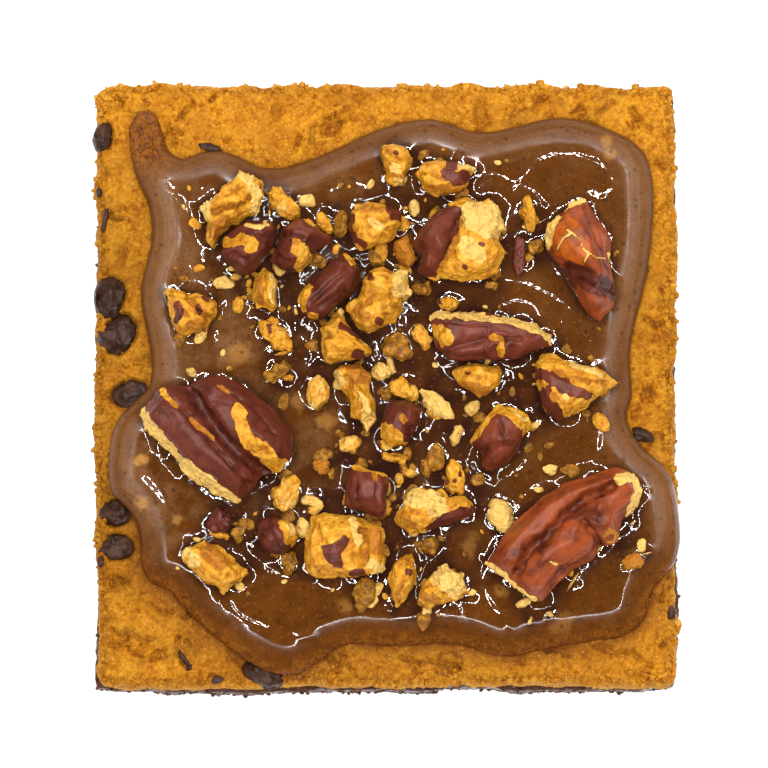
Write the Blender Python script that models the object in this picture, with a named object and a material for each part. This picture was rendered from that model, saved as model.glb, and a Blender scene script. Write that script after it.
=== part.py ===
"""A pecan praline brookie: a brownie layer, a cookie layer, poured praline glaze, broken pecans and chips.

The shapes are worked out in millimetres and scaled to metres as each object is made.
The square stands on z = 0 with its middle over the origin; +X is its right and +Y its back.
"""

import math
from collections import namedtuple

import bmesh
import bpy
import numpy as np
from mathutils import Matrix, Vector, geometry, noise

MM = 0.001  # metres in a millimetre

# Size of the cut square
WIDTH = 75.6
DEPTH = 78.6
BROWNIE_TOP = 12.4
COOKIE_TOP = 25.6
GAP = 0.3  # kept between touching solids
CORNER_RADIUS = 1.2

# The cut sides
STATIONS_ACROSS = 22
STATIONS_DEEP = 22
STATIONS_CORNER = 2
SIDE_WAVER = 0.5  # slow wander of the knife cut
SIDE_WAVER_SIZE = 17.0
SIDE_CRAG = 0.32  # crumb torn from the cut
SIDE_CRAG_SIZE = 2.6
BROWNIE_PROUD = 0.35  # the moist base stands out past the cookie
BROWNIE_PROUD_FRONT = 0.75
BROWNIE_LEVELS = (0.0, 0.08, 0.36, 0.68, 1.0)  # shares of the layer's height
BROWNIE_TUCK = {0.0: 0.5, 1.0: 0.3}  # how far its bottom and top edges draw in
COOKIE_LEVELS = (0.0, 0.3, 0.62, 0.9)
COOKIE_RIM = 0.7  # how far the baked top's edge draws in
INTERFACE_WAVE = 0.55
INTERFACE_WAVE_SIZE = 8.0

# The cookie's baked top
CROWN = 0.55
TOP_LUMP = 0.42
LUMP_SIZE = 13.0
EDGE_DROP = 0.9
EDGE_REACH = 1.3
CAP_GRID = 5.8
CAP_MARGIN = 2.3
HIDDEN_GRID = 13.9  # spacing of points where two layers meet
HIDDEN_MARGIN = 4.6

# The poured glaze
GLAZE_THICK = 2.3
GLAZE_THINNING = 0.006  # thinner by this for each millimetre towards the front
GLAZE_RIM = 2.4  # distance over which the rim rounds up to full thickness
GLAZE_RIM_LEAST = 0.12  # keeps the very edge from being a knife edge
GLAZE_UNDERCUT = 0.35
GLAZE_CURVE_STEPS = 8
GLAZE_STATIONS = 104
GLAZE_INSETS = (0.55, 1.5, 3.0)
GLAZE_GRID = 5.2
GLAZE_MARGIN = 4.4
UNDER_GRID = 6.2
UNDER_MARGIN = 2.0
GLAZE_DIMPLE = 0.22
GLAZE_DIMPLE_SIZE = 6.0
# How its edge runs over the cookie, clockwise from the tongue at the back left corner
GLAZE_EDGE = (
    (-33.8, 31.0), (-33.9, 34.0), (-31.9, 36.3), (-30.1, 35.1), (-29.2, 31.6), (-27.8, 29.0),
    (-24.4, 30.4), (-20.4, 30.2), (-16.6, 28.2), (-12.6, 28.5), (-6.6, 30.8), (-1.0, 33.4),
    (5.6, 34.7), (11.4, 32.8), (16.0, 33.5), (22.6, 34.9), (29.6, 33.0), (33.6, 30.0),
    (34.6, 24.0), (33.8, 14.8), (32.2, 8.0), (31.4, 3.6), (31.8, -1.8), (30.8, -4.8),
    (33.2, -8.4), (36.6, -11.6), (37.8, -16.6), (37.9, -22.0), (36.2, -24.8), (34.2, -26.6),
    (33.6, -30.2), (31.2, -32.8), (26.4, -33.6), (20.4, -34.6), (14.8, -35.6), (8.6, -33.9),
    (0.6, -34.3), (-6.0, -34.0), (-10.6, -37.4), (-15.2, -37.8), (-19.4, -35.4), (-24.8, -31.2),
    (-28.8, -26.8), (-32.0, -25.2), (-32.2, -20.0), (-33.6, -16.6), (-36.2, -14.2), (-36.3, -7.6),
    (-34.8, -3.8), (-31.2, -0.6), (-30.9, 3.8), (-32.4, 11.8), (-31.0, 18.0), (-31.2, 23.0),
    (-33.0, 27.0),
)
TOPPINGS_X = 0.3  # the toppings are measured from a line this far to the right of the square's middle

# The pecans. Each stands on a narrower foot, is widest at half its height and closes over in a rough top.
# An outline runs clockwise seen from above. Slope is how far in from it the full height is reached.
# A groove is its width, its depth and the line that it follows.
Pecan = namedtuple("Pecan", "name height rough slope outline grooves", defaults=((),))
PECANS = (
    Pecan(
        "pecan_half_left", 8.0, 0.7, 4.6,
        ((-32.8, -4.4), (-31.4, -2.7), (-30.0, -0.8), (-28.4, -0.3), (-26.2, -0.6), (-23.4, 0.9),
         (-21.4, 1.0), (-18.0, -1.0), (-14.6, -3.8), (-12.4, -6.8), (-12.3, -9.4), (-13.9, -12.1),
         (-16.4, -12.3), (-18.4, -15.0), (-19.6, -16.0), (-22.6, -14.7), (-26.4, -12.3),
         (-28.9, -9.0), (-31.6, -6.5)),
        ((0.9, 1.7, ((-25.8, -0.8), (-24.0, -3.8), (-22.4, -6.0), (-20.8, -8.0), (-18.0, -10.6),
                     (-15.6, -12.3))),),
    ),
    Pecan(
        "pecan_half_right", 8.2, 0.7, 4.4,
        ((12.2, -23.7), (14.2, -21.0), (16.4, -18.2), (19.8, -15.0), (22.6, -13.2), (26.6, -11.9),
         (29.6, -11.0), (32.2, -12.0), (33.1, -14.2), (32.4, -16.4), (30.4, -17.8), (30.0, -20.4),
         (28.8, -21.4), (27.3, -21.5), (26.6, -23.2), (24.0, -24.4), (22.0, -26.2), (20.0, -28.7),
         (18.4, -28.6), (15.2, -26.0)),
        ((0.9, 1.7, ((16.6, -25.0), (18.4, -21.6), (20.0, -20.4), (21.6, -18.8), (22.8, -17.4),
                     (24.6, -16.0), (26.6, -14.6), (29.0, -13.6))),
         (0.6, 0.8, ((25.0, -18.2), (26.6, -20.0), (27.4, -21.3)))),
    ),
    Pecan(
        "pecan_quarter_back_right", 7.2, 0.6, 3.4,
        ((25.6, 24.0), (27.2, 21.3), (29.0, 18.6), (28.9, 15.6), (29.7, 11.4), (29.2, 9.4),
         (27.4, 7.7), (25.6, 9.0), (23.8, 12.2), (22.6, 14.6), (20.9, 16.9), (20.0, 18.4),
         (20.6, 20.5), (22.7, 22.2), (23.6, 23.4)),
        ((0.7, 0.9, ((23.2, 14.6), (26.0, 13.6), (29.6, 12.4))),),
    ),
    Pecan(
        "pecan_slice_middle", 6.6, 0.5, 2.4,
        ((5.3, 8.6), (6.4, 9.2), (10.0, 9.2), (13.6, 9.0), (18.2, 7.6), (21.5, 6.0), (21.4, 4.5),
         (19.0, 4.0), (16.4, 2.8), (12.6, 2.9), (8.2, 2.8), (6.2, 4.2), (5.6, 6.4)),
        ((0.5, 0.8, ((8.0, 4.0), (12.0, 5.2), (17.0, 5.4))),),
    ),
    Pecan(
        "pecan_split_back", 7.6, 1.0, 3.0,
        ((2.7, 18.1), (4.2, 19.9), (6.0, 22.0), (8.2, 23.4), (10.3, 24.1), (11.8, 23.1),
         (13.1, 23.9), (14.3, 22.4), (15.1, 20.2), (14.2, 18.6), (15.4, 16.6), (14.2, 14.3),
         (12.4, 13.3), (9.4, 12.9), (6.0, 13.3), (3.6, 14.2), (4.3, 16.2)),
        ((0.7, 1.1, ((9.2, 20.4), (8.2, 17.4), (6.2, 14.0))),),
    ),
    Pecan(
        "pecan_leaning", 7.0, 0.6, 2.2,
        ((-5.6, 16.9), (-3.6, 14.6), (-3.9, 12.6), (-4.5, 11.2), (-6.2, 10.2), (-8.0, 8.4),
         (-9.6, 7.7), (-11.2, 8.6), (-12.0, 10.4), (-11.2, 12.3), (-9.4, 13.8), (-7.2, 15.8)),
    ),
    Pecan(
        "pecan_crumbled_back_left", 6.0, 1.1, 1.8,
        ((-19.3, 27.7), (-17.9, 27.0), (-16.3, 26.2), (-16.1, 24.2), (-16.7, 21.8), (-18.4, 21.4),
         (-20.2, 20.3), (-21.9, 18.9), (-22.8, 17.1), (-23.8, 18.4), (-23.6, 20.6), (-24.3, 22.6),
         (-22.9, 24.1), (-20.9, 26.0)),
        ((0.5, 1.0, ((-22.8, 22.0), (-20.3, 22.6), (-19.0, 22.6), (-18.1, 23.9))),),
    ),
    Pecan(
        "pecan_dark_back_left", 7.0, 0.7, 2.4,
        ((-19.6, 20.7), (-17.6, 21.0), (-15.2, 21.0), (-14.3, 19.8), (-15.1, 17.3), (-16.2, 15.9),
         (-17.4, 14.0), (-19.5, 13.7), (-20.6, 15.1), (-21.9, 16.6), (-21.6, 18.6), (-20.4, 19.8)),
    ),
    Pecan(
        "pecan_dark_back", 6.4, 0.8, 2.0,
        ((-13.6, 20.3), (-11.6, 21.4), (-10.2, 21.2), (-9.2, 20.0), (-7.2, 18.8), (-7.6, 17.9),
         (-9.6, 16.9), (-10.4, 15.2), (-11.7, 14.1), (-14.0, 14.5), (-15.6, 15.7), (-14.5, 18.4)),
    ),
    Pecan(
        "pecan_round_back", 6.0, 0.8, 2.0,
        ((-4.9, 22.2), (-2.6, 23.6), (-0.4, 23.1), (1.8, 22.3), (1.7, 20.2), (0.6, 18.4),
         (-1.6, 17.6), (-3.8, 16.9), (-4.8, 18.4), (-5.3, 20.2)),
    ),
    Pecan(
        "pecan_pale_back", 5.0, 0.8, 1.5,
        ((-1.2, 31.0), (0.6, 31.1), (2.6, 30.5), (3.2, 29.0), (2.5, 27.3), (2.1, 25.8),
         (0.8, 25.4), (-0.4, 25.9), (-0.4, 27.3), (-1.1, 29.0)),
    ),
    Pecan(
        "pecan_pointed_back", 5.4, 0.8, 1.6,
        ((3.2, 27.1), (4.6, 28.5), (7.2, 28.8), (9.4, 28.5), (11.6, 27.7), (10.7, 26.6),
         (10.2, 25.2), (8.4, 24.4), (6.2, 24.2), (4.5, 24.9)),
    ),
    Pecan(
        "pecan_wedge_left", 5.6, 0.7, 1.4,
        ((-16.5, 15.7), (-15.4, 14.4), (-14.1, 13.1), (-14.4, 11.6), (-14.3, 9.8), (-15.1, 8.9),
         (-16.2, 9.6), (-17.3, 9.3), (-17.7, 11.2), (-17.5, 13.8)),
    ),
    Pecan(
        "pecan_chip_left", 5.4, 0.9, 1.8,
        ((-29.2, 11.8), (-27.2, 12.2), (-24.4, 11.5), (-22.3, 10.4), (-22.2, 8.6), (-23.4, 7.1),
         (-26.0, 5.8), (-27.7, 6.5), (-28.6, 8.4)),
    ),
    Pecan(
        "pecan_gold_middle", 7.0, 1.1, 2.4,
        ((-3.6, 13.4), (-2.4, 14.5), (-0.8, 15.0), (0.8, 14.4), (2.4, 14.6), (2.8, 12.6),
         (3.2, 11.4), (1.9, 10.8), (1.7, 9.0), (1.0, 7.4), (-1.0, 6.8), (-2.8, 6.1), (-4.5, 7.2),
         (-5.5, 9.2), (-5.1, 10.4), (-3.9, 11.2)),
        ((0.5, 0.9, ((-4.6, 9.4), (-1.6, 10.6), (1.6, 10.8))),),
    ),
    Pecan(
        "pecan_gold_left", 6.6, 0.9, 1.8,
        ((-6.2, 9.7), (-5.8, 8.4), (-4.9, 6.9), (-3.2, 5.2), (-2.0, 3.8), (-3.6, 2.8),
         (-6.2, 2.7), (-7.6, 2.1), (-8.6, 2.7), (-8.9, 5.0), (-9.0, 7.0), (-7.6, 8.6)),
    ),
    Pecan(
        "pecan_tailed", 6.0, 0.7, 1.7,
        ((-7.5, 1.2), (-6.4, 2.2), (-3.4, 2.1), (-2.1, 0.8), (-2.5, -1.4), (-1.5, -3.2),
         (-1.6, -5.2), (-2.9, -7.3), (-3.2, -5.4), (-5.0, -4.7), (-4.9, -2.4), (-6.2, -0.8)),
    ),
    Pecan(
        "pecan_rounded_middle", 5.4, 0.7, 1.6,
        ((8.1, 1.2), (9.2, 2.2), (12.4, 2.4), (14.3, 2.2), (15.0, 1.2), (14.7, -0.3),
         (13.4, -1.5), (11.8, -2.3), (10.7, -1.3), (9.0, -0.4)),
    ),
    Pecan(
        "pecan_wedge_right", 6.6, 0.8, 2.3,
        ((19.0, 2.4), (19.9, 3.6), (21.4, 3.6), (22.8, 2.7), (26.4, 2.1), (28.6, 0.8),
         (30.2, -0.2), (28.4, -1.3), (26.8, -2.6), (24.4, -4.2), (22.1, -5.4), (20.6, -4.4),
         (19.7, -2.0), (18.9, 0.6)),
    ),
    Pecan(
        "pecan_dark_middle", 6.2, 0.7, 1.9,
        ((0.0, -2.5), (2.9, -2.5), (4.3, -3.6), (3.9, -5.6), (3.0, -7.4), (2.0, -8.6),
         (0.4, -8.5), (-1.0, -7.4), (-1.0, -5.8), (-0.6, -4.0)),
    ),
    Pecan(
        "pecan_faceted_right", 6.2, 0.8, 2.2,
        ((13.9, -2.8), (16.6, -3.5), (18.2, -4.4), (18.6, -5.8), (17.4, -7.2), (17.0, -8.8),
         (15.6, -10.5), (13.2, -11.8), (12.0, -11.0), (12.2, -9.2), (10.4, -7.9), (11.4, -6.2),
         (12.6, -4.5)),
    ),
    Pecan(
        "pecan_column", 6.6, 0.6, 1.9,
        ((-4.7, -10.8), (-2.6, -11.4), (-0.1, -11.8), (0.1, -13.6), (-0.2, -16.6), (-0.8, -17.9),
         (-2.2, -17.4), (-3.6, -16.8), (-5.8, -16.3), (-5.7, -14.4), (-5.2, -12.2)),
    ),
    Pecan(
        "pecan_flowered", 6.4, 1.1, 1.8,
        ((2.4, -14.4), (4.4, -13.8), (7.0, -13.8), (7.8, -15.0), (9.8, -14.9), (11.5, -16.7),
         (10.0, -17.8), (7.2, -18.7), (4.4, -19.7), (2.6, -19.9), (1.1, -18.5), (0.9, -16.8),
         (2.1, -15.9)),
    ),
    Pecan(
        "pecan_block_front", 7.0, 0.8, 2.4,
        ((-10.3, -17.4), (-8.6, -16.9), (-6.2, -17.0), (-4.4, -17.1), (-3.0, -17.9),
         (-1.2, -18.4), (-0.4, -19.2), (-0.4, -22.0), (-0.8, -24.8), (-3.2, -25.3), (-6.0, -25.4),
         (-9.4, -25.6), (-10.8, -24.7), (-11.0, -21.6)),
        ((0.6, 1.3, ((-3.2, -19.4), (-3.2, -21.4), (-3.2, -23.6))),),
    ),
    Pecan(
        "pecan_dark_front", 5.6, 0.6, 1.7,
        ((-16.6, -17.9), (-15.0, -17.5), (-13.2, -17.9), (-12.1, -18.8), (-11.6, -20.2),
         (-12.4, -21.6), (-13.4, -22.4), (-15.2, -22.4), (-16.6, -21.5), (-17.0, -19.7)),
    ),
    Pecan(
        "pecan_crumbled_front", 5.6, 1.1, 1.7,
        ((-26.8, -22.3), (-25.4, -21.1), (-23.8, -20.5), (-22.2, -21.1), (-20.7, -22.4),
         (-19.2, -23.6), (-18.0, -24.8), (-18.9, -25.9), (-20.2, -26.6), (-21.4, -27.7),
         (-22.3, -26.6), (-24.0, -26.3), (-25.3, -24.6), (-26.6, -23.3)),
    ),
    Pecan(
        "pecan_diamond_front", 5.0, 0.5, 1.4,
        ((3.1, -22.1), (3.4, -23.6), (3.9, -24.8), (3.4, -26.6), (2.2, -28.2), (1.0, -29.5),
         (0.3, -28.2), (-0.1, -25.6), (0.5, -23.9), (2.0, -22.5)),
    ),
    Pecan(
        "pecan_lobed_front", 5.0, 0.9, 1.7,
        ((5.8, -24.8), (7.2, -23.6), (9.0, -24.5), (9.9, -26.0), (10.4, -27.4), (9.0, -28.3),
         (7.2, -29.0), (5.4, -29.4), (3.4, -28.9), (4.2, -26.4)),
    ),
)
PECAN_SINK = 1.3  # how deep a piece stands in the glaze
OUTLINE_SPACING = 1.7  # a longer run of an outline gets points between that stand in or out a little
OUTLINE_JITTER = 0.4
OUTLINE_JITTER_SIZE = 1.3
FOOT_SHARE = 0.86  # size of the foot against the outline
GIRTH_AT = 0.46  # share of the height at which a piece is widest
TOP_INSETS = (0.34, 0.8)  # shares of the slope at which the top has points
TOP_GRID = 2.0
TOP_MARGIN = 1.2
TOP_RING_SPACING = 0.55  # share of the grid
TOP_POINTS_APART = 0.5
GROOVE_MARGIN = 1.0
ROUGH_SIZE = 2.6
HEAVE = 0.9  # how far one part of a top stands above another
HEAVE_SIZE = 8.0
LARGE_PECAN = 15.0  # a piece longer than this has its top points further apart
LARGE_GRID = 2.4
PART_STEP = 0.1  # by which outlines that crowd one another are drawn back
PART_STEPS = 40
WELL_SHARE = 0.97  # size of a well against the outline, before its clearance is added
WELL_CLEAR = 0.4
WELL_POINTS_APART = 0.9
WELL_TOP = 12.0  # above the cookie, clear of everything

# Nut crumbs that lie in the glaze and belong to it: x, y, length, width, turn
CRUMBS = (
    (-13.6, 23.5, 5.8, 3.4, -50), (-8.3, 20.8, 3.2, 2.0, -60), (-6.2, 20.6, 3.8, 2.0, 88),
    (2.2, 17.2, 4.6, 3.0, -75), (18.3, 22.0, 5.0, 2.4, 95), (17.1, 16.8, 6.2, 1.9, 88),
    (1.0, 4.6, 4.0, 3.2, 60), (4.3, 5.9, 3.8, 2.1, -65), (7.9, 10.3, 2.6, 2.2, 0),
    (4.4, 12.2, 2.2, 2.0, 0), (-13.3, -14.5, 4.8, 3.8, 85), (-14.7, 6.1, 5.6, 3.2, -45),
    (-14.4, 1.5, 2.6, 2.4, 0), (-9.2, -1.3, 4.8, 3.2, 85), (-0.9, 1.5, 2.8, 2.4, 60),
    (1.7, -0.8, 3.6, 2.8, -15), (6.2, -2.9, 6.0, 2.6, -40), (8.7, -7.0, 3.2, 1.6, 65),
    (0.9, -9.8, 3.8, 1.6, -5), (6.0, -9.8, 3.6, 2.6, 85), (8.8, -12.4, 5.0, 2.4, -75),
    (-5.0, -8.0, 3.0, 2.2, 10), (14.7, -17.6, 4.2, 3.6, -40), (-21.8, -18.2, 3.4, 3.0, 0),
    (-12.9, -23.2, 2.8, 2.2, -60), (-3.1, -27.5, 4.6, 3.2, 85), (-8.7, -11.0, 2.6, 1.8, -30),
    (-9.9, -15.5, 3.0, 1.6, -25), (5.3, -21.2, 2.6, 2.2, 0), (19.3, 17.7, 2.4, 1.8, 20),
)
CRUMB_HEIGHT = 0.85  # share of the width
CRUMB_SINK = 0.9
CRUMB_SIDES = 7
CRUMB_UNEVEN = 0.5
CRUMB_ROUGH = 0.4
CRUMB_SLOPE = 0.45  # share of the width
CRUMB_SEED = 50

# Chocolate chips in the cookie's top: name, x, y, length, width, height, turn, how far each stands proud
CHIPS = (
    ("chip_left_upper", -36.4, 11.3, 6.4, 4.6, 4.8, 80, 0.55),
    ("chip_left_lower", -35.4, 6.5, 6.4, 5.6, 5.2, 60, 0.50),
    ("chip_left_middle", -33.6, -1.4, 5.4, 4.2, 4.0, 10, 0.0),
    ("chip_left_front_a", -35.4, -16.9, 4.8, 4.2, 4.2, 20, 0.30),
    ("chip_left_front_b", -35.2, -21.2, 4.7, 4.0, 4.0, -10, 0.40),
    ("chip_back_left", -37.2, 32.5, 4.4, 2.8, 4.2, 85, 0.35),
    ("chip_front", -16.2, -37.6, 6.0, 3.6, 4.2, -12, 0.45),
)
CHIP_SIDES = 8
CHIP_RINGS = 5
CHIP_ROUGH = 0.16
CHIP_BLUNT = 2.6  # how square the ends are
CHIP_SQUARE = 0.85  # how square the girth is, less being squarer
CHIP_NOISE = 0.45  # share of the height
CHIP_SEED = 80
POCKET_CLEAR = 0.36

# How neighbouring chips are cut apart
CUT_BEARINGS = 24
CUT_LIFTS = (-0.35, 0.0, 0.35)

# Colour, roughness and metallic value of each finish
BROWNIE_FINISH = ((0.075, 0.028, 0.014, 1.0), 0.75, 0.0)
COOKIE_FINISH = ((0.62, 0.29, 0.045, 1.0), 0.80, 0.0)
GLAZE_FINISH = ((0.17, 0.068, 0.022, 1.0), 0.12, 0.0)
PECAN_SKIN_FINISH = ((0.13, 0.035, 0.022, 1.0), 0.35, 0.0)
PECAN_FLESH_FINISH = ((0.68, 0.36, 0.08, 1.0), 0.55, 0.0)
CHIP_FINISH = ((0.045, 0.022, 0.018, 1.0), 0.40, 0.0)
DARK_PECANS = (
    "pecan_half_left", "pecan_half_right", "pecan_quarter_back_right", "pecan_slice_middle",
    "pecan_leaning", "pecan_dark_back_left", "pecan_dark_back", "pecan_dark_middle",
    "pecan_faceted_right", "pecan_column", "pecan_dark_front",
)

# Layers of the noise, so that no two shapes share one
COOKIE_TOP_NOISE = 3.1
COOKIE_SIDE_NOISE = 4.0
INTERFACE_NOISE = 7.7
GLAZE_NOISE = 12.0
BROWNIE_SIDE_NOISE = 21.0

CROWDED = 0.85  # a moved point nearer than this share of its move to the outline is left out
TINY = 1e-9


def clear_scene():
    for thing in list(bpy.data.objects):
        bpy.data.objects.remove(thing, do_unlink=True)


def make_material(name, finish):
    colour, roughness, metallic = finish
    material = bpy.data.materials.new(name)
    material.use_nodes = True
    shader = material.node_tree.nodes["Principled BSDF"]
    shader.inputs["Base Color"].default_value = colour
    shader.inputs["Roughness"].default_value = roughness
    shader.inputs["Metallic"].default_value = metallic
    material.diffuse_color = colour
    return material


def make_object(name, shape, material):
    """Turns a bmesh in millimetres into a named object in metres."""
    bmesh.ops.triangulate(shape, faces=shape.faces[:])
    shape.transform(Matrix.Scale(MM, 4))
    bmesh.ops.recalc_face_normals(shape, faces=shape.faces[:])
    mesh = bpy.data.meshes.new(name)
    shape.to_mesh(mesh)
    shape.free()
    mesh.materials.append(material)
    made = bpy.data.objects.new(name, mesh)
    bpy.context.scene.collection.objects.link(made)
    return made


def ripple(x, y, size, layer):
    """Smooth noise from about -1 to 1 with bumps of the given size."""
    return noise.noise(Vector((x / size, y / size, layer)))


def raised(points, height):
    """Points of a plan, each at the height that a function of x and y gives it."""
    return [Vector((p.x, p.y, height(p.x, p.y))) for p in points]


def as_array(ring):
    return np.array([tuple(p) for p in ring])


def cookie_top(x, y):
    """Height of the cookie's baked top, which is crowned, lumpy and falls off at the cut edges."""
    across = min(abs(x) / (WIDTH / 2), 1.0)
    deep = min(abs(y) / (DEPTH / 2), 1.0)
    edge = max(min(WIDTH / 2 - abs(x), DEPTH / 2 - abs(y)), 0.0)
    crown = CROWN * (1.0 - across**4) * (1.0 - deep**4)
    fall = EDGE_DROP * math.exp(-edge / EDGE_REACH)
    return COOKIE_TOP + crown + TOP_LUMP * ripple(x, y, LUMP_SIZE, COOKIE_TOP_NOISE) - fall


def square_stations():
    """Points round the square with their outward directions, anticlockwise from the front left corner."""
    half_width = WIDTH / 2 - CORNER_RADIUS
    half_depth = DEPTH / 2 - CORNER_RADIUS
    sides = (
        ((-half_width, -half_depth), (1, 0), (0, -1), 2 * half_width, STATIONS_ACROSS),
        ((half_width, -half_depth), (0, 1), (1, 0), 2 * half_depth, STATIONS_DEEP),
        ((half_width, half_depth), (-1, 0), (0, 1), 2 * half_width, STATIONS_ACROSS),
        ((-half_width, half_depth), (0, -1), (-1, 0), 2 * half_depth, STATIONS_DEEP),
    )
    stations = []
    for start, along, out, length, count in sides:
        outward = Vector(out)
        for i in range(count + 1):
            spot = Vector(start) + Vector(along) * (length * i / count) + outward * CORNER_RADIUS
            stations.append((spot, outward))
        for i in range(1, STATIONS_CORNER + 1):
            angle = math.atan2(out[1], out[0]) + math.pi / 2 * i / (STATIONS_CORNER + 1)
            turned = Vector((math.cos(angle), math.sin(angle)))
            centre = Vector(start) + Vector(along) * length
            stations.append((centre + turned * CORNER_RADIUS, turned))
    return stations


def waver(spot, height, layer):
    """How far the cut side stands in or out at a place."""
    slow = noise.noise(Vector((spot.x / SIDE_WAVER_SIZE, spot.y / SIDE_WAVER_SIZE, layer)))
    crag_spot = Vector((spot.x, spot.y, height)) / SIDE_CRAG_SIZE
    crag = noise.noise(crag_spot + Vector((0, 0, layer)))
    return SIDE_WAVER * slow + SIDE_CRAG * crag


def interface(spot):
    """Height of the line where brownie and cookie meet, at the cut sides."""
    return BROWNIE_TOP + INTERFACE_WAVE * ripple(spot.x, spot.y, INTERFACE_WAVE_SIZE, INTERFACE_NOISE)


def depth_inside(x, y, outline):
    """Distance from a point to the outline, negative outside it."""
    start, end = outline, np.roll(outline, -1, axis=0)
    run = end - start
    to_point = np.array((x, y)) - start
    share = np.clip((to_point * run).sum(axis=1) / np.maximum((run * run).sum(axis=1), TINY), 0, 1)
    nearest = np.linalg.norm(to_point - run * share[:, None], axis=1).min()
    crosses = (start[:, 1] > y) != (end[:, 1] > y)
    rise = np.where(np.abs(run[:, 1]) < TINY, TINY, run[:, 1])
    at_x = start[:, 0] + (y - start[:, 1]) * run[:, 0] / rise
    inside = np.count_nonzero(crosses & (x < at_x)) % 2 == 1
    return nearest if inside else -nearest


def distance_to_line(x, y, line):
    """Distance from a point to a line of several points."""
    spot = Vector((x, y))
    nearest = math.inf
    for start, end in zip(line, line[1:]):
        on_line, share = geometry.intersect_point_line(spot, start, end)
        if share < 0.0:
            on_line = start
        elif share > 1.0:
            on_line = end
        nearest = min(nearest, (spot - Vector(on_line[:2])).length)
    return nearest


def grid_inside(ring, spacing, margin):
    """Grid points at least the margin inside a ring of 2-D points."""
    outline = as_array(ring)
    points = []
    low, high = outline.min(axis=0), outline.max(axis=0)
    rows = int((high[1] - low[1]) / spacing) + 1
    columns = int((high[0] - low[0]) / spacing) + 1
    for row in range(rows + 1):
        for column in range(columns + 1):
            x = low[0] + spacing * (column + 0.5 * (row % 2))
            y = low[1] + spacing * row
            if depth_inside(x, y, outline) > margin:
                points.append(Vector((x, y)))
    return points


def inward_at(ring, i):
    """Direction into a clockwise ring at one of its points."""
    along = (ring[(i + 1) % len(ring)] - ring[i - 1]).normalized()
    return Vector((along.y, -along.x))


def inset_points(ring, amount):
    """The points of a clockwise ring moved inwards, less those that would crowd one another."""
    outline = as_array(ring)
    points = []
    for i, point in enumerate(ring):
        moved = point + inward_at(ring, i) * amount
        if depth_inside(moved.x, moved.y, outline) > CROWDED * amount:
            points.append(moved)
    return points


def thin_out(ring, spacing):
    """Drops the points that follow too closely, keeping the rest of a ring."""
    kept = [ring[0]]
    for point in ring[1:]:
        if (point - kept[-1]).length > spacing:
            kept.append(point)
    if (kept[-1] - kept[0]).length < spacing:
        kept.pop()
    return kept


def slab(rings, top_points, bottom_points):
    """A closed solid from matching rings, bottom to top, with points to raise or lower inside both caps."""
    shape = bmesh.new()
    rows = [[shape.verts.new(point) for point in ring] for ring in rings]
    count = len(rings[0])
    for lower, upper in zip(rows, rows[1:]):
        for i in range(count):
            j = (i + 1) % count
            shape.faces.new((lower[i], lower[j], upper[j], upper[i]))
    for row, points, up in ((rows[-1], top_points, True), (rows[0], bottom_points, False)):
        corners = row + [shape.verts.new(point) for point in points]
        flat = [Vector((v.co.x, v.co.y)) for v in corners]
        edges = [(i, (i + 1) % count) for i in range(count)]
        _, _, faces, sources, _, _ = geometry.delaunay_2d_cdt(flat, edges, [], 1, 1e-6)
        for face in faces:
            loop = [corners[sources[i][0]] for i in face]
            shape.faces.new(loop if up else loop[::-1])
    return shape


def make_brownie(material):
    """The dark base: a flat bottom and ragged sides that stand a little proud of the cookie."""
    rings = []
    for level in BROWNIE_LEVELS:
        ring = []
        for spot, outward in square_stations():
            height = level * (interface(spot) - GAP / 2)
            front = max(-outward.y, 0.0)
            proud = BROWNIE_PROUD + (BROWNIE_PROUD_FRONT - BROWNIE_PROUD) * front
            out = proud + waver(spot, height, BROWNIE_SIDE_NOISE) - BROWNIE_TUCK.get(level, 0.0)
            place = spot + outward * out
            ring.append(Vector((place.x, place.y, height)))
        rings.append(ring)
    inner = grid_inside([p.xy for p in rings[-1]], HIDDEN_GRID, HIDDEN_MARGIN)
    cap = raised(inner, lambda x, y: BROWNIE_TOP - INTERFACE_WAVE - GAP / 2)
    return make_object("brownie_layer", slab(rings, cap, []), material)


def make_cookie(material):
    """The golden layer: ragged cut sides, a rounded top edge and the lumpy baked top."""
    stations = square_stations()
    rings = []
    for level in COOKIE_LEVELS:
        ring = []
        for spot, outward in stations:
            low = interface(spot) + GAP / 2
            height = low + level * (cookie_top(spot.x, spot.y) - low)
            place = spot + outward * waver(spot, height, COOKIE_SIDE_NOISE)
            ring.append(Vector((place.x, place.y, height)))
        rings.append(ring)
    rim = []
    for spot, outward in stations:
        rim.append(spot + outward * (waver(spot, COOKIE_TOP, COOKIE_SIDE_NOISE) - COOKIE_RIM))
    rings.append(raised(rim, cookie_top))
    cap = raised(grid_inside(rim, CAP_GRID, CAP_MARGIN), cookie_top)
    base_grid = grid_inside([p.xy for p in rings[0]], HIDDEN_GRID, HIDDEN_MARGIN)
    base = raised(base_grid, lambda x, y: BROWNIE_TOP + INTERFACE_WAVE + GAP / 2)
    return make_object("cookie_layer", slab(rings, cap, base), material)


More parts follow.
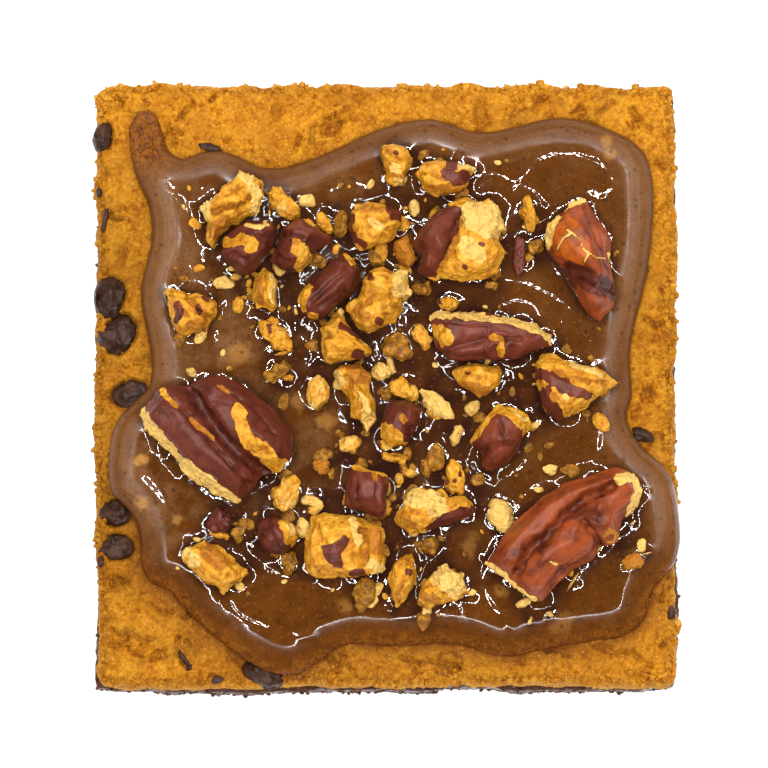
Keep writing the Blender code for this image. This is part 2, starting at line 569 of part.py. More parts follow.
def glaze_ring():
    """The glaze's edge as evenly spaced points on a closed smooth curve through its corners."""
    corners = [Vector((x + TOPPINGS_X, y)) for x, y in GLAZE_EDGE]
    count = len(corners)
    fine = []
    for i in range(count):
        before, start, end, after = (corners[(i + k) % count] for k in (-1, 0, 1, 2))
        for step in range(GLAZE_CURVE_STEPS):
            t = step / GLAZE_CURVE_STEPS
            curve = 2 * start + (end - before) * t
            curve += (2 * before - 5 * start + 4 * end - after) * t**2
            curve += (3 * start - before - 3 * end + after) * t**3
            fine.append(curve / 2)
    lengths = [(fine[(i + 1) % len(fine)] - p).length for i, p in enumerate(fine)]
    spacing = sum(lengths) / GLAZE_STATIONS
    ring, walked, wanted = [], 0.0, 0.0
    for point, length, following in zip(fine, lengths, fine[1:] + fine[:1]):
        while wanted < walked + length and len(ring) < GLAZE_STATIONS:
            ring.append(point.lerp(following, (wanted - walked) / length))
            wanted += spacing
        walked += length
    return ring


def glaze_height(x, y, depth):
    """Thickness of the glaze at a depth inside its edge."""
    full = GLAZE_THICK + GLAZE_THINNING * y
    full += GLAZE_DIMPLE * ripple(x, y, GLAZE_DIMPLE_SIZE, GLAZE_NOISE)
    share = min(max(depth, 0.0) / GLAZE_RIM, 1.0)
    return full * math.sqrt(max(1.0 - (1.0 - share) ** 2, GLAZE_RIM_LEAST))


def make_glaze(ring, glaze_top, material):
    """The poured sheet, with a rounded rim, lying a gap above the cookie."""

    def underside(x, y):
        return cookie_top(x, y) + GAP

    foot = [p + inward_at(ring, i) * GLAZE_UNDERCUT for i, p in enumerate(ring)]
    inner = grid_inside(ring, GLAZE_GRID, GLAZE_MARGIN)
    inner += inset_points(ring, GLAZE_INSETS[0])
    for amount in GLAZE_INSETS[1:]:
        inner += inset_points(ring, amount)[::2]
    under_grid = grid_inside(ring, UNDER_GRID, UNDER_MARGIN)
    # The edge runs clockwise seen from above, and slab() takes rings that run the other way.
    rings = [raised(foot[::-1], underside), raised(ring[::-1], glaze_top)]
    shape = slab(rings, raised(inner, glaze_top), raised(under_grid, underside))
    return make_object("praline_glaze", shape, material)


def pecan_ring(pecan, seed):
    """A piece's outline in its place, with its longer runs made uneven."""
    corners = [Vector((x + TOPPINGS_X, y)) for x, y in pecan.outline]
    ring = []
    for start, end in zip(corners, corners[1:] + corners[:1]):
        steps = math.ceil((end - start).length / OUTLINE_SPACING)
        along = (end - start).normalized()
        inward = Vector((along.y, -along.x))
        ring.append(start)
        for step in range(1, steps):
            spot = start.lerp(end, step / steps)
            jitter = OUTLINE_JITTER * ripple(spot.x, spot.y, OUTLINE_JITTER_SIZE, seed)
            ring.append(spot + inward * jitter)
    return ring


def crumb_ring(x, y, length, width, turn, seed):
    """An uneven outline round a nut crumb, clockwise."""
    ring = []
    for i in range(CRUMB_SIDES):
        angle = -2 * math.pi * i / CRUMB_SIDES
        reach = 1.0 + CRUMB_UNEVEN * noise.noise(Vector((seed, 0.7 * i, 0.0)))
        local = Vector((length / 2 * math.cos(angle), width / 2 * math.sin(angle))) * reach
        local.rotate(Matrix.Rotation(math.radians(turn), 2))
        ring.append(local + Vector((x + TOPPINGS_X, y)))
    return ring


def draw_back(ring, other):
    """Moves the points of a ring towards its middle until they are a gap clear of another outline."""
    outline = as_array(other)
    middle = sum(ring, Vector((0, 0))) / len(ring)
    for i in range(len(ring)):
        away = (middle - ring[i]).normalized() * PART_STEP
        for _ in range(PART_STEPS):
            if depth_inside(ring[i].x, ring[i].y, outline) < -GAP:
                break
            ring[i] = ring[i] + away


def part_neighbours(rings):
    """Draws the outlines of pieces that would touch back from one another."""
    for i, first in enumerate(rings):
        for second in rings[i + 1 :]:
            a, b = as_array(first), as_array(second)
            apart = np.maximum(a.min(axis=0) - b.max(axis=0), b.min(axis=0) - a.max(axis=0))
            if apart.max() < GAP:
                draw_back(second, first)
                draw_back(first, second)


def nut_piece(ring, height, rough, slope, grooves, bottom, seed):
    """A broken piece of nut: a narrower foot, its outline at the girth and a rough, furrowed top."""
    outline = as_array(ring)
    middle = sum(ring, Vector((0, 0))) / len(ring)
    foot = [middle + (p - middle) * FOOT_SHARE for p in ring]

    def top(x, y):
        share = min(max(depth_inside(x, y, outline), 0.0) / slope, 1.0)
        dome = GIRTH_AT + (1.0 - GIRTH_AT) * math.sqrt(1.0 - (1.0 - share) ** 2)
        above = height * dome + rough * share * ripple(x, y, ROUGH_SIZE, seed)
        above += HEAVE * share * ripple(x, y, HEAVE_SIZE, seed)
        for width, depth, line in grooves:
            above -= depth * math.exp(-((distance_to_line(x, y, line) / width) ** 2))
        return bottom + above

    def girth(x, y):
        return bottom + height * GIRTH_AT + rough / 2 * ripple(x, y, ROUGH_SIZE, -seed)

    length = (outline.max(axis=0) - outline.min(axis=0)).max()
    spacing = LARGE_GRID if length > LARGE_PECAN else TOP_GRID
    points = grid_inside(ring, spacing, max(TOP_INSETS[-1] * slope, TOP_MARGIN))
    for share in TOP_INSETS:
        points += thin_out(inset_points(ring, share * slope), TOP_RING_SPACING * spacing)
    for _, _, line in grooves:
        points += [p for p in line if depth_inside(p.x, p.y, outline) > GROOVE_MARGIN]
    points = spread_out(points, TOP_POINTS_APART)
    rings = [raised(foot[::-1], lambda x, y: bottom), raised(ring[::-1], girth)]
    return slab(rings, raised(points, top), [])


def spread_out(points, least):
    """The points less those that lie nearly on an earlier one."""
    kept = []
    for point in points:
        if all((point - other).length > least for other in kept):
            kept.append(point)
    return kept


def well_for(ring, bottom):
    """A straight-sided cutter round the foot of a piece, from just below it."""
    middle = sum(ring, Vector((0, 0))) / len(ring)
    smaller = thin_out([middle + (p - middle) * WELL_SHARE for p in ring], WELL_POINTS_APART)
    grown = [p - inward_at(smaller, i) * WELL_CLEAR for i, p in enumerate(smaller)][::-1]
    rings = [
        raised(grown, lambda x, y: bottom - GAP),
        raised(grown, lambda x, y: COOKIE_TOP + WELL_TOP),
    ]
    return slab(rings, [], [])


def lump(length, width, height, seed):
    """A rounded uneven body along X."""
    shape = bmesh.new()

    def uneven(x, y, z):
        point = Vector((x, y, z))
        spot = point / (CHIP_NOISE * height) + Vector((seed, 2 * seed, 3 * seed))
        return shape.verts.new(point * (1.0 + CHIP_ROUGH * noise.noise(spot)))

    def squarer(value):
        return math.copysign(abs(value) ** CHIP_SQUARE, value)

    loops = []
    for i in range(1, CHIP_RINGS):
        along = -math.cos(math.pi * i / CHIP_RINGS)
        girth = (1.0 - abs(along) ** CHIP_BLUNT) ** 0.5
        loop = []
        for j in range(CHIP_SIDES):
            angle = 2 * math.pi * j / CHIP_SIDES
            y = width / 2 * girth * squarer(math.cos(angle))
            z = height / 2 * girth * squarer(math.sin(angle))
            loop.append(uneven(along * length / 2, y, z))
        loops.append(loop)
    tail = uneven(-length / 2, 0, 0)
    nose = uneven(length / 2, 0, 0)
    for j in range(CHIP_SIDES):
        k = (j + 1) % CHIP_SIDES
        shape.faces.new((tail, loops[0][k], loops[0][j]))
        shape.faces.new((nose, loops[-1][j], loops[-1][k]))
        for lower, upper in zip(loops, loops[1:]):
            shape.faces.new((lower[j], lower[k], upper[k], upper[j]))
    bmesh.ops.recalc_face_normals(shape, faces=shape.faces[:])
    return shape


def snap(shape, point, normal):
    """Breaks the body off at a plane and closes the break."""
    parts = shape.verts[:] + shape.edges[:] + shape.faces[:]
    cut = bmesh.ops.bisect_plane(
        shape, geom=parts, dist=1e-5, plane_co=point, plane_no=normal, clear_outer=True
    )
    rim = [e for e in cut["geom_cut"] if isinstance(e, bmesh.types.BMEdge)]
    if rim:
        bmesh.ops.edgeloop_fill(shape, edges=rim)


def cut_apart(shapes):
    """Where two chips would overlap, breaks both at the plane that takes the least, and leaves a gap."""
    directions = []
    for step in range(CUT_BEARINGS):
        angle = 2 * math.pi * step / CUT_BEARINGS
        for lift in CUT_LIFTS:
            directions.append((math.cos(angle), math.sin(angle), lift))
    directions = np.array(directions)
    directions /= np.linalg.norm(directions, axis=1)[:, None]
    for i, first in enumerate(shapes):
        for second in shapes[i + 1 :]:
            a, b = (as_array([v.co for v in shape.verts]) for shape in (first, second))
            ends, starts = (a @ directions.T).max(axis=0), (b @ directions.T).min(axis=0)
            best = int(np.argmin(ends - starts))
            if ends[best] - starts[best] < -GAP:
                continue
            normal = Vector(directions[best])
            middle = (ends[best] + starts[best]) / 2
            snap(first, normal * (middle - GAP / 2), normal)
            snap(second, normal * (middle + GAP / 2), -normal)


def helper_object(name, shape, collection):
    made = make_object(name, shape, None)
    bpy.context.scene.collection.objects.unlink(made)
    collection.objects.link(made)
    made.hide_render = True
    made.display_type = "WIRE"
    return made


def apply_boolean(target, collection, operation):
    """Cuts or joins a collection's bodies, then removes them."""
    modifier = target.modifiers.new(operation.title(), "BOOLEAN")
    modifier.operation = operation
    modifier.operand_type = "COLLECTION"
    modifier.collection = collection
    modifier.solver = "EXACT"
    graph = bpy.context.evaluated_depsgraph_get()
    result = bpy.data.meshes.new_from_object(target.evaluated_get(graph))
    target.modifiers.clear()
    old = target.data
    target.data = result
    bpy.data.meshes.remove(old)
    for helper in list(collection.objects):
        bpy.data.objects.remove(helper, do_unlink=True)
    bpy.data.collections.remove(collection)


def keep_largest_body(target):
    """Drops the loose scraps that a Boolean may leave."""
    shape = bmesh.new()
    shape.from_mesh(target.data)
    left = set(shape.verts)
    bodies = []
    while left:
        stack = [left.pop()]
        body = set(stack)
        while stack:
            for edge in stack.pop().link_edges:
                for vert in edge.verts:
                    if vert in left:
                        left.remove(vert)
                        body.add(vert)
                        stack.append(vert)
        bodies.append(body)
    bodies.sort(key=len)
    for body in bodies[:-1]:
        bmesh.ops.delete(shape, geom=list(body), context="VERTS")
    bmesh.ops.triangulate(shape, faces=shape.faces[:])
    shape.to_mesh(target.data)
    shape.free()


def helper_collection(name):
    made = bpy.data.collections.new(name)
    bpy.context.scene.collection.children.link(made)
    return made


def make_nuts(glaze, glaze_top, skin, flesh):
    """The pecans in wells of the glaze, and the crumbs joined to it."""

    def placed(line):
        return [Vector((x + TOPPINGS_X, y)) for x, y in line]

    def bottom_of(ring, sink):
        middle = sum(ring, Vector((0, 0))) / len(ring)
        return glaze_top(middle.x, middle.y) - sink

    rings = [pecan_ring(pecan, seed) for seed, pecan in enumerate(PECANS, 1)]
    rings += [crumb_ring(*crumb, CRUMB_SEED + number) for number, crumb in enumerate(CRUMBS)]
    part_neighbours(rings)

    wells = helper_collection("wells")
    for seed, (pecan, ring) in enumerate(zip(PECANS, rings), 1):
        bottom = bottom_of(ring, PECAN_SINK)
        grooves = [(width, depth, placed(line)) for width, depth, line in pecan.grooves]
        shape = nut_piece(ring, pecan.height, pecan.rough, pecan.slope, grooves, bottom, seed)
        make_object(pecan.name, shape, skin if pecan.name in DARK_PECANS else flesh)
        helper_object("well_" + pecan.name, well_for(ring, bottom), wells)
    apply_boolean(glaze, wells, "DIFFERENCE")

    fused = helper_collection("crumbs")
    for number, (crumb, ring) in enumerate(zip(CRUMBS, rings[len(PECANS) :])):
        width = crumb[3]
        height = CRUMB_HEIGHT * width + CRUMB_SINK
        bottom = bottom_of(ring, CRUMB_SINK)
        shape = nut_piece(
            ring, height, CRUMB_ROUGH, CRUMB_SLOPE * width, (), bottom, CRUMB_SEED + number
        )
        helper_object(f"crumb_{number}", shape, fused)
    apply_boolean(glaze, fused, "UNION")
    keep_largest_body(glaze)


def chip_shape(row, grow):
    """A baked chip in its place, or the pocket that it needs when grown by the clearance."""
    _, x, y, length, width, height, turn, proud = row
    seed = CHIP_SEED + round(abs(x) + abs(y))
    shape = lump(length + 2 * grow, width + 2 * grow, height + 2 * grow, seed)
    middle = cookie_top(x + TOPPINGS_X, y) + proud - height / 2
    place = Matrix.Translation(Vector((x + TOPPINGS_X, y, middle)))
    shape.transform(place @ Matrix.Rotation(math.radians(turn), 4, "Z"))
    return shape


def make_chips(cookie, material):
    """Chips baked into the cookie's top, each in a pocket that clears it."""
    pockets = helper_collection("pockets")
    chips = [chip_shape(row, 0.0) for row in CHIPS]
    cut_apart(chips)
    for row, chip in zip(CHIPS, chips):
        helper_object("pocket_" + row[0], chip_shape(row, POCKET_CLEAR), pockets)
        make_object(row[0], chip, material)
    apply_boolean(cookie, pockets, "DIFFERENCE")
    keep_largest_body(cookie)


def main():
    clear_scene()
    brownie = make_material("brownie", BROWNIE_FINISH)
    cookie_crumb = make_material("cookie", COOKIE_FINISH)
    praline = make_material("praline", GLAZE_FINISH)
    skin = make_material("pecan_skin", PECAN_SKIN_FINISH)
    flesh = make_material("pecan_flesh", PECAN_FLESH_FINISH)
    chocolate = make_material("chocolate", CHIP_FINISH)

    make_brownie(brownie)
    cookie = make_cookie(cookie_crumb)
    make_chips(cookie, chocolate)

    ring = glaze_ring()
    outline = as_array(ring)

    def glaze_top(x, y):
        return cookie_top(x, y) + GAP + glaze_height(x, y, depth_inside(x, y, outline))

    glaze = make_glaze(ring, glaze_top, praline)
    make_nuts(glaze, glaze_top, skin, flesh)


main()
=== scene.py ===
import math

import bmesh
import bpy
import numpy as np
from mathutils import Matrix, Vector, geometry
from mathutils.bvhtree import BVHTree


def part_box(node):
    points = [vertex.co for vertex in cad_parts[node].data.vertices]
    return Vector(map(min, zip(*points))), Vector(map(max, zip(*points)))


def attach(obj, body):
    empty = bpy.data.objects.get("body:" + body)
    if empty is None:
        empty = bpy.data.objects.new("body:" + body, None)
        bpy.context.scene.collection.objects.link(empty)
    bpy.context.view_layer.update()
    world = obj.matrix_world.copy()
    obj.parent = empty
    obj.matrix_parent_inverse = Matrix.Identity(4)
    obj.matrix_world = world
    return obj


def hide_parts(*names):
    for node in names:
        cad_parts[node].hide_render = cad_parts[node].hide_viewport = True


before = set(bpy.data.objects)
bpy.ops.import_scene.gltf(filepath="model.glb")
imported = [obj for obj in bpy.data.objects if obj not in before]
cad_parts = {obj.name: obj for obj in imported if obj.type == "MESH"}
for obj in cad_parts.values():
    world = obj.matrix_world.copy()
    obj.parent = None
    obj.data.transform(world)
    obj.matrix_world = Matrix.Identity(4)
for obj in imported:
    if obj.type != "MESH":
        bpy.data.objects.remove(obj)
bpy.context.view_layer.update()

mm = 0.001  # shapes are worked out in millimetres and made in metres

# How the photograph lies over the square: pixels are read in its 768 by 768 frame
photo = {"pixelsPerMm": 7.67, "middleX": 386.2, "middleY": 382.3}
toppingsX = 0.3  # the nuts' own millimetres are read from a line this far to the right of the middle


def spot(pixel):
    x = (pixel[0] - photo["middleX"]) / photo["pixelsPerMm"]
    y = (photo["middleY"] - pixel[1]) / photo["pixelsPerMm"]
    return np.array((x, y))


def spots(pixels):
    return np.array([spot(pixel) for pixel in pixels])


def placed(line):
    return np.atleast_2d(line) + (toppingsX, 0)


# Noise

noiseDraw = np.random.RandomState(7)
leanings = noiseDraw.normal(size=(256, 3))
leanings /= np.linalg.norm(leanings, axis=1)[:, None]
scatter = noiseDraw.uniform(size=(256, 3))
shuffle = noiseDraw.permutation(256)


def lookUp(cell):
    inner = shuffle[cell[:, 2] & 255]
    middle = shuffle[(cell[:, 1] + inner) & 255]
    return shuffle[(cell[:, 0] + middle) & 255]


def ripple(points, size, seed=0):
    # smooth noise, about -1 to 1
    place = points / size + np.array((5.31, 9.17, 2.73)) * (seed + 1)
    cell = np.floor(place).astype(np.int64)
    part = place - cell
    ease = part**3 * (part * (part * 6 - 15) + 10)
    total = np.zeros(len(points))
    for corner in range(8):
        step = np.array((corner & 1, corner >> 1 & 1, corner >> 2 & 1))
        lean = ((part - step) * leanings[lookUp(cell + step)]).sum(axis=1)
        share = np.prod(np.where(step == 1, ease, 1 - ease), axis=1)
        total += share * lean
    return total * 1.7


def rough(points, size, seed=0, layers=3, fade=0.5):
    total = np.zeros(len(points))
    for layer in range(layers):
        total += fade**layer * ripple(points, size / 2**layer, seed + 3 * layer)
    return total


def grainField(points, size, seed=0):
    # the distance to the nearest grain's middle in grain sizes, each grain's own value,
    # and the height of its tilted face
    place = points / size + np.array((3.7, 1.9, 8.3)) * (seed + 1)
    cell = np.floor(place).astype(np.int64)
    nearest = np.full(len(points), 9.0)
    owner = np.zeros(len(points), dtype=np.int64)
    offset = np.zeros((len(points), 3))
    for number in range(27):
        step = np.array((number % 3 - 1, number // 3 % 3 - 1, number // 9 - 1))
        key = lookUp(cell + step)
        away = place - cell - step - scatter[key]
        gap = (away * away).sum(axis=1)
        closer = gap < nearest
        nearest[closer] = gap[closer]
        owner[closer] = key[closer]
        offset[closer] = away[closer]
    return np.sqrt(nearest), owner / 255, (offset * leanings[owner]).sum(axis=1)


def smoothStep(value, low, high):
    share = np.clip((value - low) / (high - low), 0, 1)
    return share * share * (3 - 2 * share)


def bell(gap, width):
    # 1 where the gap is nothing, falling away smoothly over the width
    return np.exp(-(gap / width) ** 2)


# Plan geometry

def nearLine(points, line, closed=False):
    # distance in plan from each point to a line of points
    corners = np.atleast_2d(line)
    if len(corners) == 1:
        return np.linalg.norm(points[:, :2] - corners[0], axis=1)
    best = np.full(len(points), 1e9)
    count = len(corners) if closed else len(corners) - 1
    for i in range(count):
        start, end = corners[i], corners[(i + 1) % len(corners)]
        run = end - start
        share = np.clip(((points[:, :2] - start) @ run) / max(run @ run, 1e-12), 0, 1)
        gap = np.linalg.norm(points[:, :2] - start - share[:, None] * run, axis=1)
        best = np.minimum(best, gap)
    return best


def sideOfLine(points, line):
    # distance in plan to a line of points, above zero on its left
    best = np.full(len(points), 1e9)
    side = np.ones(len(points))
    for start, end in zip(line[:-1], line[1:]):
        run = end - start
        away = points[:, :2] - start
        share = np.clip((away @ run) / max(run @ run, 1e-12), 0, 1)
        gap = np.linalg.norm(away - share[:, None] * run, axis=1)
        closer = gap < best
        best[closer] = gap[closer]
        side[closer] = np.sign(run[0] * away[closer, 1] - run[1] * away[closer, 0])
    return best * side


def isInside(points, outline):
    inside = np.zeros(len(points), dtype=bool)
    x, y = points[:, 0], points[:, 1]
    for start, end in zip(outline, np.roll(outline, -1, axis=0)):
        if start[1] == end[1]:
            continue
        crosses = (start[1] > y) != (end[1] > y)
        inside ^= crosses & (x < start[0] + (y - start[1]) * (end[0] - start[0]) / (end[1] - start[1]))
    return inside


def depthInside(points, outline):
    # distance in from a closed outline, below zero outside it
    return np.where(isInside(points, outline), 1, -1) * nearLine(points, outline, closed=True)


def flatOf(points):
    # points in plan again, with a height of zero
    return np.column_stack((points, np.zeros(len(points))))


def wandering(points, size, seed):
    # a smooth chance shift in plan for each point
    return np.column_stack((ripple(points, size, seed), ripple(points, size, seed + 1)))


def heading(angle):
    return np.array((math.cos(angle), math.sin(angle)))


def evenRing(ring, spacing, softness=0.0):
    # the closed ring again with even spacing, with its corners softened
    closed = np.vstack((ring, ring[:1]))
    walked = np.concatenate(((0,), np.cumsum(np.linalg.norm(np.diff(closed, axis=0), axis=1))))
    count = int(walked[-1] / spacing)
    wanted = np.linspace(0, walked[-1], count, endpoint=False)
    even = np.stack([np.interp(wanted, walked, closed[:, k]) for k in range(ring.shape[1])], axis=1)
    for _ in range(int((softness / spacing) ** 2)):
        even = even / 2 + (np.roll(even, 1, axis=0) + np.roll(even, -1, axis=0)) / 4
    return even


def gridPoints(low, high, spacing, seed):
    # a jittered triangular grid over a box in plan
    draw = np.random.RandomState(seed)
    rows = np.arange(low[1], high[1], spacing * 0.87)
    points = []
    for number, y in enumerate(rows):
        x = np.arange(low[0] + spacing / 2 * (number % 2), high[0], spacing)
        points.append(np.stack((x, np.full(len(x), y)), axis=1))
    points = np.vstack(points)
    return points + draw.uniform(-0.18, 0.18, points.shape) * spacing


def capFaces(ring, inner):
    # triangles over a closed ring and the points inside it
    flat = [Vector(p) for p in np.vstack((ring, inner))]
    count = len(ring)
    edges = [(i, (i + 1) % count) for i in range(count)]
    _, _, faces, sources, _, _ = geometry.delaunay_2d_cdt(flat, edges, [], 1, 1e-7)
    return [tuple(sources[i][0] for i in face) for face in faces]


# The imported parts, in millimetres

def nodePoints(name):
    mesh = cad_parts[name].data
    flat = np.empty(len(mesh.vertices) * 3)
    mesh.vertices.foreach_get("co", flat)
    return flat.reshape(-1, 3) / mm


def nodeTree(name):
    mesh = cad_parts[name].data
    return BVHTree.FromPolygons([v.co / mm for v in mesh.vertices], [p.vertices for p in mesh.polygons])


def openCopy(name):
    # the node's loose triangles joined up again
    shape = bmesh.new()
    shape.from_mesh(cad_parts[name].data)
    bmesh.ops.remove_doubles(shape, verts=shape.verts, dist=1e-6)
    return shape


def makePiece(name, points, faces, material, values=None):
    mesh = bpy.data.meshes.new(name)
    mesh.from_pydata((np.asarray(points) * mm).tolist(), [], [tuple(int(i) for i in f) for f in faces])
    mesh.polygons.foreach_set("use_smooth", [True] * len(mesh.polygons))
    for key, value in (values or {}).items():
        field = mesh.attributes.new(key, "FLOAT", "POINT")
        field.data.foreach_set("value", np.asarray(value, dtype=np.float32))
    mesh.materials.append(material)
    mesh.update()
    piece = bpy.data.objects.new(name, mesh)
    bpy.context.scene.collection.objects.link(piece)
    return piece


def settle(piece, slotName, *nodes):
    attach(piece, "root")
    if nodes:
        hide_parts(*nodes)


# Shader helpers

def addNode(tree, kind, settings=None, **links):
    node = tree.nodes.new(kind)
    for key, value in (settings or {}).items():
        setattr(node, key, value)
    for key, value in links.items():
        feed(tree, node, key, value)
    return node


def feed(tree, node, key, value):
    # a key such as i2 is an input's number, and any other is its name
    if key[0] == "i" and key[1:].isdigit():
        socket = node.inputs[int(key[1:])]
    else:
        socket = node.inputs[key.replace("_", " ")]
    if isinstance(value, bpy.types.NodeSocket):
        tree.links.new(value, socket)
    else:
        socket.default_value = value


def math2(tree, operation, first, second, third=None):
    links = {"i0": first, "i1": second}
    if third is not None:
        links["i2"] = third
    return addNode(tree, "ShaderNodeMath", {"operation": operation}, **links).outputs[0]


def times(tree, first, second):
    return math2(tree, "MULTIPLY", first, second)


def timesPlus(tree, first, second, third):
    return math2(tree, "MULTIPLY_ADD", first, second, third)


def mixColour(tree, share, first, second, blend="MIX"):
    settings = {"data_type": "RGBA", "blend_type": blend}
    return addNode(tree, "ShaderNodeMix", settings, i0=share, i6=first, i7=second).outputs[2]


def tinted(tree, colour, share, shade, strength=None, blend="MIX"):
    # the colour with a shade laid over it, as far as the share says
    if strength is not None:
        share = times(tree, share, strength)
    return mixColour(tree, share, colour, (*shade, 1), blend)


def noiseNode(tree, where, scale, detail=2.0, roughness=0.5):
    node = addNode(tree, "ShaderNodeTexNoise", Vector=where, Scale=scale, Detail=detail, Roughness=roughness)
    return node.outputs[0]


def ramp(tree, value, stops):
    node = addNode(tree, "ShaderNodeValToRGB", Fac=value)
    parts = node.color_ramp.elements
    while len(parts) < len(stops):
        parts.new(0.5)
    for part, (place, colour) in zip(parts, stops):
        part.position = place
        part.color = colour if len(colour) == 4 else (*colour, 1)
    return node.outputs[0]


def spread(tree, value, low, high):
    return addNode(tree, "ShaderNodeMapRange", Value=value, i1=low, i2=high).outputs[0]


def patches(tree, where, pattern):
    # cloudy patches: the noise's scale, detail and roughness, where the mask starts and where it is full
    scale, detail, roughness, low, high = pattern
    return spread(tree, noiseNode(tree, where, scale, detail, roughness), low, high)


def shadeRamp(tree, value, look, places, *names):
    return ramp(tree, value, [(place, look[name]) for place, name in zip(places, names)])


def makeGroup(name, inputs, outputs, build):
    group = bpy.data.node_groups.new(name, "ShaderNodeTree")
    for key, kind, start in inputs:
        socket = group.interface.new_socket(name=key, in_out="INPUT", socket_type=kind)
        if start is not None:
            socket.default_value = start
    for key, kind in outputs:
        group.interface.new_socket(name=key, in_out="OUTPUT", socket_type=kind)
    start = group.nodes.new("NodeGroupInput")
    end = group.nodes.new("NodeGroupOutput")
    build(group, start.outputs, end.inputs)
    return group


def buildCrumbGrain(tree, given, wanted):
    # grains over clumps: a height for the bump, and how deep a place lies
    cells = addNode(tree, "ShaderNodeTexVoronoi", Vector=given["Vector"], Scale=given["Scale"])
    fine = cells.outputs["Distance"]
    half = times(tree, given["Scale"], 0.37)
    clump = noiseNode(tree, given["Vector"], half, 3.0, 0.6)
    twice = times(tree, given["Scale"], 2.3)
    dust = noiseNode(tree, given["Vector"], twice, 2.0, 0.6)
    height = math2(tree, "SUBTRACT", clump, times(tree, fine, 0.45))
    height = math2(tree, "ADD", height, times(tree, dust, 0.35))
    tree.links.new(height, wanted["Height"])
    tree.links.new(spread(tree, height, 0.15, 0.75), wanted["Rise"])
    tone = addNode(tree, "ShaderNodeSeparateColor", Color=cells.outputs["Color"]).outputs[0]
    tree.links.new(tone, wanted["Own"])


def buildSpeckle(tree, given, wanted):
    # a mask of small specks, fewer as Rarity grows
    cells = addNode(tree, "ShaderNodeTexVoronoi", Vector=given["Vector"], Scale=given["Scale"])
    tone = addNode(tree, "ShaderNodeSeparateColor", Color=cells.outputs["Color"]).outputs[0]
    chosen = math2(tree, "GREATER_THAN", tone, given["Rarity"])
    dot = spread(tree, cells.outputs["Distance"], 0.42, 0.22)
    tree.links.new(times(tree, chosen, dot), wanted["Mask"])


crumbGrain = makeGroup(
    "crumb grain",
    (("Vector", "NodeSocketVector", None), ("Scale", "NodeSocketFloat", 1500.0)),
    (("Height", "NodeSocketFloat"), ("Rise", "NodeSocketFloat"), ("Own", "NodeSocketFloat")),
    buildCrumbGrain,
)
speckle = makeGroup(
    "speckle",
    (("Vector", "NodeSocketVector", None), ("Scale", "NodeSocketFloat", 1500.0),
     ("Rarity", "NodeSocketFloat", 0.7)),
    (("Mask", "NodeSocketFloat"),),
    buildSpeckle,
)


def startMaterial(name):
    material = bpy.data.materials.new(name)
    material.use_nodes = True
    tree = material.node_tree
    shader = tree.nodes["Principled BSDF"]
    where = addNode(tree, "ShaderNodeTexCoord").outputs["Object"]
    return material, tree, shader, where


def useGroup(tree, group, **links):
    return addNode(tree, "ShaderNodeGroup", {"node_tree": group}, **links)


def specks(tree, where, scale, rarity):
    return useGroup(tree, speckle, Vector=where, Scale=scale, Rarity=rarity).outputs["Mask"]


def fieldValue(tree, name):
    return addNode(tree, "ShaderNodeAttribute", {"attribute_name": name}).outputs["Fac"]


def grainRise(tree, grain, shares):
    # how high a place lies: shares of the mesh's own rise, the fine grain and each grain's own value
    total = times(tree, fieldValue(tree, "rise"), shares[0])
    for key, share in zip(("Rise", "Own"), shares[1:]):
        total = timesPlus(tree, grain.outputs[key], share, total)
    return total


def bumpFrom(tree, shader, height, distance):
    node = addNode(tree, "ShaderNodeBump", Height=height, Distance=distance, Strength=1.0)
    tree.links.new(node.outputs[0], shader.inputs["Normal"])


# Grains scattered over a surface: each is a small ball, turned, squashed and shaded by chance

grainForm = {
    "palest": 1.0,
    "darkest": 0.3,
    "smallness": 2.0,
    "thinnest": (0.34, 0.34, 0.28),
    "fullest": (0.62, 0.62, 0.5),
    "stirScale": 1500.0,
}


def chance(tree, low, high, seed):
    # a random number, or a random vector where the limits are vectors
    if isinstance(low, tuple):
        settings = {"data_type": "FLOAT_VECTOR"}
        return addNode(tree, "FunctionNodeRandomValue", settings, i0=low, i1=high, Seed=seed).outputs[0]
    settings = {"data_type": "FLOAT"}
    return addNode(tree, "FunctionNodeRandomValue", settings, i2=low, i3=high, Seed=seed).outputs[1]


def vector2(tree, operation, first, **links):
    return addNode(tree, "ShaderNodeVectorMath", {"operation": operation}, i0=first, **links).outputs[0]


def startScatterTree():
    tree = bpy.data.node_groups.new("scatter grains", "GeometryNodeTree")
    inputs = (("Share", "String"), ("Density", "Float"), ("Smallest", "Float"), ("Largest", "Float"),
              ("Unevenness", "Float"), ("Roundness", "Int"), ("Seed", "Int"), ("Material", "Material"))
    for key, kind in (("Surface", "Geometry"), *inputs):
        tree.interface.new_socket(name=key, in_out="INPUT", socket_type="NodeSocket" + kind)
    tree.interface.new_socket(name="Grains", in_out="OUTPUT", socket_type="NodeSocketGeometry")
    return tree, tree.nodes.new("NodeGroupInput").outputs


def shadedDots(tree, given):
    # points spread by the surface's share, each with a shade of its own
    share = addNode(tree, "GeometryNodeInputNamedAttribute", {"data_type": "FLOAT"}, Name=given["Share"])
    density = times(tree, given["Density"], share.outputs[0])
    dots = addNode(tree, "GeometryNodeDistributePointsOnFaces", {"distribute_method": "RANDOM"},
                   Mesh=given["Surface"], Density=density, Seed=given["Seed"]).outputs["Points"]
    shade = chance(tree, grainForm["darkest"], grainForm["palest"], given["Seed"])
    return addNode(tree, "GeometryNodeStoreNamedAttribute", {"data_type": "FLOAT", "domain": "POINT"},
                   Geometry=dots, Name="rise", Value=shade).outputs[0]


